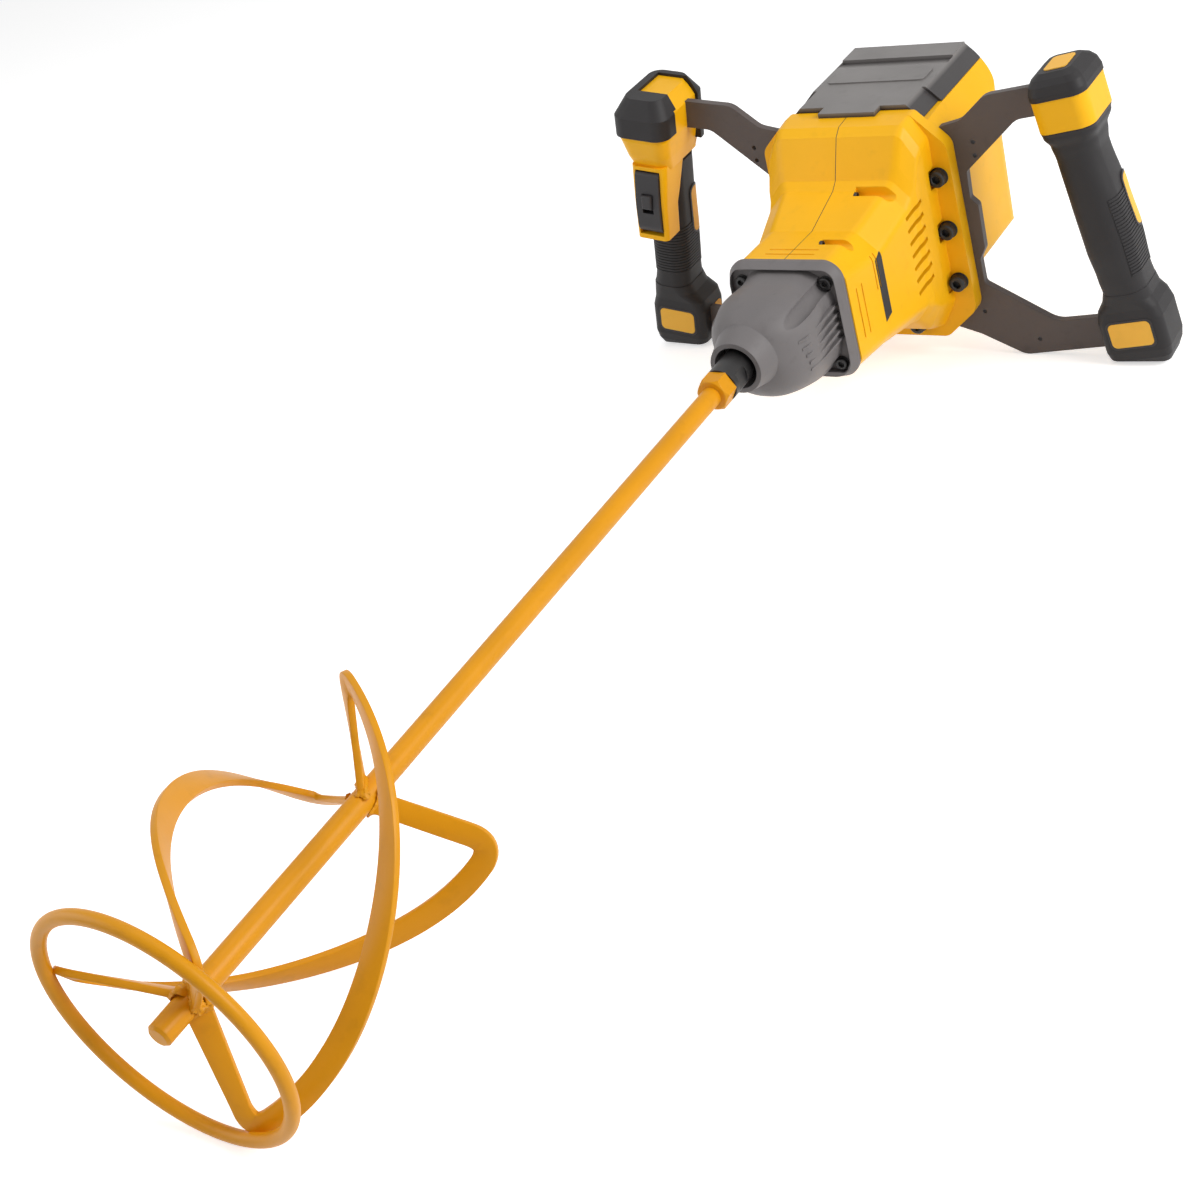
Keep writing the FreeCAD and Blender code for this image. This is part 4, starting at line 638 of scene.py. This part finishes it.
def socket_screws(name, node, seat, along_y=True):
    """Socket-head screws with hexagon sockets, and washers along Y, in place of a CAD node."""
    s = sizes()
    bm = bmesh.new()
    for low, high in islands(node):
        one = bmesh.new()
        size = high - low
        middle = (low + high) / 2
        head, tip = (size.x / 2, size.y) if along_y else (size.y / 2, size.x)
        shank = head * SCREW_SHANK
        corner = head * s.socket_share
        crown = head * SCREW_CROWN
        washer = head * s.washer_share if along_y else head
        step = min(s.washer_thickness, seat * WASHER_LIMIT)
        lathe(one, [(corner * SOCKET_RIM, 0), (head - crown, 0), (head, crown),
                    (head, seat - step), (washer, seat - step), (washer, seat), (shank, seat),
                    (shank, tip - shank / POINT_STEEPNESS), (shank * SCREW_POINT, tip), (0, tip)],
              SCREW_STEPS)
        reach = corner * RIM_REACH
        rim = [e for e in one.edges
               if all(v.co.y < SAME_POINT and v.co.xz.length < reach for v in e.verts)]
        flat = Matrix.Rotation(math.pi / 2, 4, "X")
        mouth = Matrix.Translation((0, crown * SOCKET_MOUTH, 0)) @ flat
        hexagon = bmesh.ops.create_circle(one, segments=6, radius=corner, matrix=mouth)
        sides = list(dict.fromkeys(e for v in hexagon["verts"] for e in v.link_edges))
        bmesh.ops.bridge_loops(one, edges=rim + sides)
        walls = bmesh.ops.extrude_edge_only(one, edges=sides)["geom"]
        bottom = made_of(bmesh.types.BMVert, walls)
        bmesh.ops.translate(one, verts=bottom, vec=(0, seat * SOCKET_DEPTH, 0))
        floor = [e for e in made_of(bmesh.types.BMEdge, walls) if all(v in bottom for v in e.verts)]
        bmesh.ops.contextual_create(one, geom=floor)
        if along_y:
            bmesh.ops.translate(one, verts=one.verts, vec=(middle.x, low.y, middle.z))
        else:
            quarter = Matrix.Rotation(math.pi / 2, 3, "Z")
            bmesh.ops.rotate(one, verts=one.verts, cent=(0, 0, 0), matrix=quarter)
            bmesh.ops.translate(one, verts=one.verts, vec=(high.x, middle.y, middle.z))
        join(bm, one)
    piece = add_piece(name, bm, "black_steel", "frame")
    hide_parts(node)


class MIXER_OT_finishes(bpy.types.Operator):
    """Gives every CAD node the finish of its material slot"""
    bl_idname = "mixer.finishes"
    bl_label = "Finishes"

    def execute(self, context):
        for part in frame["record"]["subparts"]:
            mesh = frame["nodes"][part["node"]].data
            mesh.materials.clear()
            mesh.materials.append(finish(DARKENED.get(part["node"], part["material_slot"])))
        return {"FINISHED"}


class MIXER_OT_bolts(bpy.types.Operator):
    """Models the eight bolts through the flange and the brackets"""
    bl_idname = "mixer.bolts"
    bl_label = "Flange bolts"

    def execute(self, context):
        socket_screws("flange_bolts", "housing_bolts", sizes().bolt_seat)
        return {"FINISHED"}


class MIXER_OT_gearbox_screws(bpy.types.Operator):
    """Models the four screws in the gearbox's channels"""
    bl_idname = "mixer.gearbox_screws"
    bl_label = "Gearbox screws"

    def execute(self, context):
        socket_screws("channel_screws", "gearbox_screws", sizes().channel_seat)
        return {"FINISHED"}


class MIXER_OT_shell_screws(bpy.types.Operator):
    """Models the two screws that join the shells of the front housing"""
    bl_idname = "mixer.shell_screws"
    bl_label = "Shell screws"

    def execute(self, context):
        socket_screws("joining_screws", "shell_screws", sizes().shell_seat, along_y=False)
        return {"FINISHED"}


class MIXER_OT_blades(bpy.types.Operator):
    """Bends the three blades from flat bar, with rounded corners"""
    bl_idname = "mixer.blades"
    bl_label = "Paddle blades"

    def execute(self, context):
        s = sizes()
        stations = blade_stations()
        points = [station[0] for station in stations]
        sections = []
        for i, (point, lean, half) in enumerate(stations):
            ahead = (points[min(i + 1, len(points) - 1)] - points[max(i - 1, 0)]).normalized()
            outward = Vector((point.x, 0, point.z)).normalized()
            sideways = Vector((-outward.z, 0, outward.x))
            face = sideways * math.cos(lean) - Vector((0, math.sin(lean), 0))
            wide = ahead.cross(face).normalized() * half
            thick = wide.cross(ahead).normalized() * s.blade_thickness / 2
            corners = (-wide - thick, wide - thick, wide + thick, -wide + thick)
            sections.append([point + corner + Vector((0, s.blade_start, 0)) for corner in corners])
        for i in range(BLADES):
            bm = bmesh.new()
            sweep(bm, sections)
            edges = [e for e in bm.edges if e.calc_face_angle() > BROKEN_ANGLE]
            bmesh.ops.bevel(bm, geom=edges, offset=s.blade_edge, offset_type="OFFSET",
                            affect="EDGES", segments=2, profile=0.5, material=-1)
            bmesh.ops.rotate(bm, verts=bm.verts, cent=(0, 0, 0), matrix=blade_turn(i))
            piece = add_piece("bent_blade_%d" % (i + 1), bm, "paddle_paint", "spindle")
            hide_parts("paddle_blade_%d" % (i + 1))
        return {"FINISHED"}


class MIXER_OT_welds(bpy.types.Operator):
    """Runs a rippled weld round the foot of each blade's arms"""
    bl_idname = "mixer.welds"
    bl_label = "Blade welds"

    def execute(self, context):
        s = sizes()
        along = Vector((0, s.weld_span, 0))
        joint = s.shaft_radius * ON_SHAFT
        for i in range(BLADES):
            bm = bmesh.new()
            for root in (s.low_root, s.high_root):
                spot = blade_turn(i) @ Vector(root)
                outward = Vector((spot.x, 0, spot.z)).normalized()
                one = merged_copy("paddle_blade_%d" % (i + 1))
                clip(one, [(spot + outward * s.weld_leg, outward), (spot + along, along),
                           (spot - along, -along)])
                seat = [f for f in one.faces if all(v.co.xz.length < joint for v in f.verts)]
                bmesh.ops.delete(one, geom=seat, context="FACES")
                if not one.faces:
                    raise RuntimeError("blade %d has no arm there" % (i + 1))
                bmesh.ops.subdivide_edges(one, edges=one.edges[:], cuts=WELD_CUTS,
                                          use_grid_fill=True)

                def swell(point):
                    height = (point - spot).dot(outward) / s.weld_leg
                    ripple = WELD_SWELL + WELD_RIPPLE * noise.noise(point * RIPPLE_SCALE)
                    return max(WELD_LEAST, 1.0 - height) * ripple

                for vert in thicken(one, s.weld_rise / WELD_SINK, s.weld_rise, swell):
                    if vert.co.xz.length < joint * WELD_REACH:
                        vert.co.xz = vert.co.xz.normalized() * s.shaft_radius * WELD_END
                join(bm, one)
            add_piece("blade_welds_%d" % (i + 1), bm, "paddle_paint", "spindle")
        return {"FINISHED"}


class MIXER_OT_grips(bpy.types.Operator):
    """Draws the rubber sleeves of both handles"""
    bl_idname = "mixer.grips"
    bl_label = "Grips"

    def execute(self, context):
        for side, name in SIDES:
            sleeve = grip_surface(name, side)
            piece = add_piece("sleeve_%s" % name, sleeve, "handle_rubber", "frame")
            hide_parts("grip_%s" % name)
        return {"FINISHED"}


class MIXER_OT_grip_ribs(bpy.types.Operator):
    """Lays rows of ribs round the outside of the right grip and all round the left one"""
    bl_idname = "mixer.grip_ribs"
    bl_label = "Grip ribs"

    def execute(self, context):
        s = sizes()
        for (side, name), rows in zip(SIDES, (s.rib_rows, s.rib_rows_left)):
            handle = handle_frame(side)
            axis = handle_axes(side)[2]
            outside = handle.to_3x3() @ RIB_OUTSIDE
            low = handle @ Vector((0, 0, -s.rib_low))
            high = low + axis * (rows + s.rib_pitch)
            ends = [(high, axis), (low - axis * s.rib_pitch, -axis)]
            area = skin(grip_surface(name, side), ends, outside, RIB_FACING[name])
            bm = bmesh.new()
            for i in range(int(rows / s.rib_pitch) + 1):
                middle = low + axis * (rows - s.rib_pitch * i)
                one = area.copy()
                clip(one, [(middle + axis * s.rib_width / 2, axis),
                           (middle - axis * s.rib_width / 2, -axis)])
                for vert in thicken(one, s.rib_rise / 2, s.rib_rise):
                    vert.co -= axis * (RIB_TAPER * (vert.co - middle).dot(axis))
                join(bm, one)
            area.free()
            add_piece("grip_ribs_%s" % name, bm, "handle_rubber", "frame")
        return {"FINISHED"}


class MIXER_OT_palm_inlays(bpy.types.Operator):
    """Sets amber inlays with dark borders in the sides of both grips"""
    bl_idname = "mixer.palm_inlays"
    bl_label = "Palm inlays"

    def execute(self, context):
        s = sizes()
        layers = ((s.border, s.rib_rise + s.border_rise, "palm_border", "black_plastic"),
                  (0.0, s.palm_rise, "palm_inlay", "orange_pad"))
        for side, name in SIDES:
            across, back, axis = handle_axes(side)
            middle = handle_frame(side) @ Vector(s.palm_middle)
            for grow, rise, piece, slot in layers:
                half = (s.palm_half[1] + grow, s.palm_half[2] + grow)
                planes = rounded_outline(middle, half, half[0] * PALM_CORNER_SHARE, back, axis)
                bm = bmesh.new()
                for outward in (across, -across):
                    one = skin(grip_surface(name, side), planes, outward, PALM_FACING)
                    thicken(one, s.border_rise, rise)
                    join(bm, one)
                add_piece("%s_%s" % (piece, name), bm, slot, "frame")
        return {"FINISHED"}


class MIXER_OT_pad_shade_lines(bpy.types.Operator):
    """Frames the pads in front of both feet with a dark line, painted shade standing in for the
    shadow gap round each pad
    """
    bl_idname = "mixer.pad_borders"
    bl_label = "Pad borders"

    def execute(self, context):
        s = sizes()
        for side, name in SIDES:
            across, back, axis = handle_axes(side)
            middle = handle_frame(side) @ Vector(s.pad_middle)
            middle -= across * (s.left_inset if side < 0 else 0.0)
            half = (s.pad_half[0] + s.border, s.pad_half[2] + s.border)
            planes = rounded_outline(middle, half, PAD_CORNER, across, axis)
            planes.append((middle + back * s.border_rise, back))
            bm = skin(merged_copy("foot_%s" % name), planes, -back, PAD_FACING)
            thicken(bm, s.border_rise, s.border_rise)
            add_piece("pad_border_%s" % name, bm, "black_plastic", "frame")
        return {"FINISHED"}


class MIXER_OT_lid_plate(bpy.types.Operator):
    """Raises a bare plate on top of the battery lid"""
    bl_idname = "mixer.lid_plate"
    bl_label = "Lid plate"

    def execute(self, context):
        s = sizes()
        middle = Vector(s.plate_middle)
        planes = rounded_outline(middle, s.plate_half[:2], PLATE_CORNER, X, Y)
        planes.append((middle - Z * PLATE_SEARCH, -Z))
        bm = skin(merged_copy("battery_lid"), planes, Z, PLATE_FACING)
        for vert in thicken(bm, s.plate_rise / 2, s.plate_rise):
            vert.co.xy -= (vert.co - middle).xy * PLATE_TAPER
        add_piece("lid_plate", bm, "grey_lid", "lid")
        return {"FINISHED"}


class MIXER_OT_seam(bpy.types.Operator):
    """Draws the joint between both shells along the top of the front housing"""
    bl_idname = "mixer.seam"
    bl_label = "Shell joint"

    def execute(self, context):
        s = sizes()
        bm = bmesh.new()
        for side, name in SIDES:
            planes = [(X * side * s.seam_half, X * side), (Z * SEAM_LOW, -Z)]
            one = skin(merged_copy("front_housing_%s" % name), planes, Z, SEAM_FACING)
            thicken(one, s.seam_half, s.seam_half / SEAM_FLATNESS)
            join(bm, one)
        add_piece("shell_joint", bm, "black_plastic", "frame")
        return {"FINISHED"}


class MIXER_OT_stripes(bpy.types.Operator):
    """Lays a plain dark stripe on both flanks of the front housing"""
    bl_idname = "mixer.stripes"
    bl_label = "Flank stripes"

    def execute(self, context):
        s = sizes()
        low, high = Vector(s.stripe_low), Vector(s.stripe_high)
        slant = Vector((0, STRIPE_SLANT, 1)).normalized()
        for side, name in SIDES:
            outward = X * side
            planes = [(low, -Y), (high, Y), (low, -slant), (high, slant),
                      (outward * STRIPE_INSIDE, -outward)]
            bm = skin(merged_copy("front_housing_%s" % name), planes, outward, STRIPE_FACING)
            thicken(bm, s.stripe_rise, s.stripe_rise)
            add_piece("flank_stripe_%s" % name, bm, "black_plastic", "frame")
        return {"FINISHED"}


class MIXER_OT_vent_shade(bpy.types.Operator):
    """Sets a dark screen behind the vents of both flanks, painted shade in their openings"""
    bl_idname = "mixer.filters"
    bl_label = "Vent filters"

    def execute(self, context):
        s = sizes()
        middle, half = Vector(s.filter_middle), Vector(s.filter_half)
        upright = Matrix(((0, 0, 1), (1, 0, 0), (0, 1, 0)))
        for side, name in SIDES:
            bm = bmesh.new()
            bmesh.ops.create_grid(bm, x_segments=VENT_SHADE_CELLS[0], y_segments=VENT_SHADE_CELLS[1],
                                  size=1.0)
            bmesh.ops.scale(bm, verts=bm.verts, vec=(half.y, half.z, 1.0))
            bmesh.ops.inset_individual(bm, faces=bm.faces[:], thickness=half.y / VENT_SHADE_WALL,
                                       depth=-half.y / VENT_SHADE_DEPTH)
            thicken(bm, half.y / VENT_SHADE_THICKNESS, 0.0)
            bmesh.ops.rotate(bm, verts=bm.verts, cent=(0, 0, 0), matrix=upright)
            bmesh.ops.scale(bm, verts=bm.verts, vec=(side, 1.0, 1.0))
            spot = (side * middle.x, middle.y, middle.z)
            bmesh.ops.translate(bm, verts=bm.verts, vec=spot)
            add_piece("vent_filter_%s" % name, bm, "black_plastic", "frame")
        return {"FINISHED"}


class MIXER_OT_louvre(bpy.types.Operator):
    """Sets a framed grille behind bars in the back of the rear housing"""
    bl_idname = "mixer.louvre"
    bl_label = "Rear louvre"

    def execute(self, context):
        s = sizes()
        middle, half = Vector(s.louvre_middle), Vector(s.louvre_half)

        def plate(centre, size, corner, rise):
            planes = rounded_outline(centre, size, corner, X, Z)
            planes.append((centre - Y * half.x / 2, -Y))
            bm = skin(merged_copy("rear_housing"), planes, Y, LOUVRE_FACING)
            thicken(bm, s.louvre_rise / 2, s.louvre_rise * rise)
            return bm

        frame_half = (half.x + 2 * s.border, half.z + 2 * s.border)
        rim = plate(middle, frame_half, FRAME_CORNER, 1)
        add_piece("louvre_frame", rim, "yellow_housing", "frame")
        grille = plate(middle, (half.x, half.z), GRILLE_CORNER, GRILLE_RISE)
        add_piece("louvre_grille", grille, "black_plastic", "frame")
        bars = bmesh.new()
        bar_half = (half.x * BAR_LENGTH, half.z / BAR_HALF)
        for i in BARS:
            centre = middle + Z * half.z * i / BAR_PITCH
            join(bars, plate(centre, bar_half, half.z / BAR_CORNER, BAR_RISE))
        add_piece("louvre_bars", bars, "yellow_housing", "frame")
        return {"FINISHED"}


class MIXER_OT_stage(bpy.types.Operator):
    """Sets the floor, the light, the white surround and the camera"""
    bl_idname = "mixer.stage"
    bl_label = "Stage"

    def execute(self, context):
        s = sizes()
        scene = context.scene
        scene.view_settings.view_transform = "Standard"

        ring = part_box("paddle_ring")[0]
        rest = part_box("bracket_right")[0]
        slope = Matrix.Rotation(math.atan2(rest.z - ring.z, rest.y - ring.y), 3, "X")
        bm = bmesh.new()
        bmesh.ops.create_grid(bm, x_segments=1, y_segments=1, size=s.floor_size / 2)
        bmesh.ops.rotate(bm, verts=bm.verts, cent=(0, 0, 0), matrix=slope)
        bmesh.ops.translate(bm, verts=bm.verts, vec=(0, rest.y, rest.z - FLOOR_GAP))
        mesh = bpy.data.meshes.new("floor")
        bm.to_mesh(mesh)
        bm.free()
        floor = bpy.data.objects.new("floor", mesh)
        scene.collection.objects.link(floor)
        pale = bpy.data.materials.new("floor")
        pale.use_nodes = True
        shader = pale.node_tree.nodes["Principled BSDF"]
        shader.inputs["Base Color"].default_value = (FLOOR_GREY, FLOOR_GREY, FLOOR_GREY, 1.0)
        shader.inputs["Roughness"].default_value = FLOOR_ROUGHNESS
        shader.inputs["Specular IOR Level"].default_value = 0.0
        shader.inputs["Emission Color"].default_value = WHITE
        seen_strength(pale.node_tree, shader.inputs["Emission Strength"], 0.0, s.floor_lift)
        mesh.materials.append(pale)

        world = bpy.data.worlds.new("surround")
        scene.world = world
        world.use_nodes = True
        sky = world.node_tree.nodes["Background"]
        sky.inputs["Color"].default_value = WHITE
        seen_strength(world.node_tree, sky.inputs["Strength"], s.surround_light, 1.0)

        for name, spot, side in LAMPS:
            lamp = bpy.data.lights.new(name, "AREA")
            lamp.energy = getattr(s, "%s_power" % name)
            lamp.size = side
            light = bpy.data.objects.new(name, lamp)
            light.location = spot
            light.rotation_mode = "QUATERNION"
            light.rotation_quaternion = (AIM - Vector(spot)).to_track_quat("-Z", "Y")
            scene.collection.objects.link(light)

        right, up = Vector(s.camera_right).normalized(), Vector(s.camera_up).normalized()
        back = right.cross(up).normalized()
        lens = bpy.data.cameras.new("camera")
        lens.sensor_width = SENSOR_WIDTH
        lens.lens = s.camera_lens
        lens.clip_start = NEAR_CLIP
        camera = bpy.data.objects.new("camera", lens)
        turn = Matrix((right, up, back)).transposed().to_4x4()
        camera.matrix_world = Matrix.Translation(s.camera_place) @ turn
        scene.collection.objects.link(camera)
        scene.camera = camera
        return {"FINISHED"}


STEPS = (MIXER_OT_finishes, MIXER_OT_bolts, MIXER_OT_gearbox_screws, MIXER_OT_shell_screws,
         MIXER_OT_blades, MIXER_OT_welds, MIXER_OT_grips, MIXER_OT_grip_ribs,
         MIXER_OT_palm_inlays, MIXER_OT_pad_shade_lines, MIXER_OT_lid_plate, MIXER_OT_seam,
         MIXER_OT_stripes, MIXER_OT_vent_shade, MIXER_OT_louvre, MIXER_OT_stage)


class MIXER_PT_panel(bpy.types.Panel):
    """Sizes, colours and building steps of the mixing drill"""
    bl_idname = "MIXER_PT_panel"
    bl_label = "Mixing drill"
    bl_space_type = "VIEW_3D"
    bl_region_type = "UI"
    bl_category = "Mixer"

    def draw(self, context):
        for group in (context.scene.mixer_sizes, context.scene.mixer_colours):
            column = self.layout.column(align=True)
            for name in group.__annotations__:
                column.prop(group, name)
        for step in STEPS:
            self.layout.operator(step.bl_idname)


CLASSES = (MixerSizes, MixerColours) + STEPS + (MIXER_PT_panel,)


def register():
    for cls in CLASSES:
        bpy.utils.register_class(cls)
    bpy.types.Scene.mixer_sizes = bpy.props.PointerProperty(type=MixerSizes)
    bpy.types.Scene.mixer_colours = bpy.props.PointerProperty(type=MixerColours)


def unregister():
    del bpy.types.Scene.mixer_colours
    del bpy.types.Scene.mixer_sizes
    for cls in reversed(CLASSES):
        bpy.utils.unregister_class(cls)


def main():
    register()
    for step in STEPS:
        group, name = step.bl_idname.split(".")
        getattr(getattr(bpy.ops, group), name)()


if __name__ == "__main__":
    main()
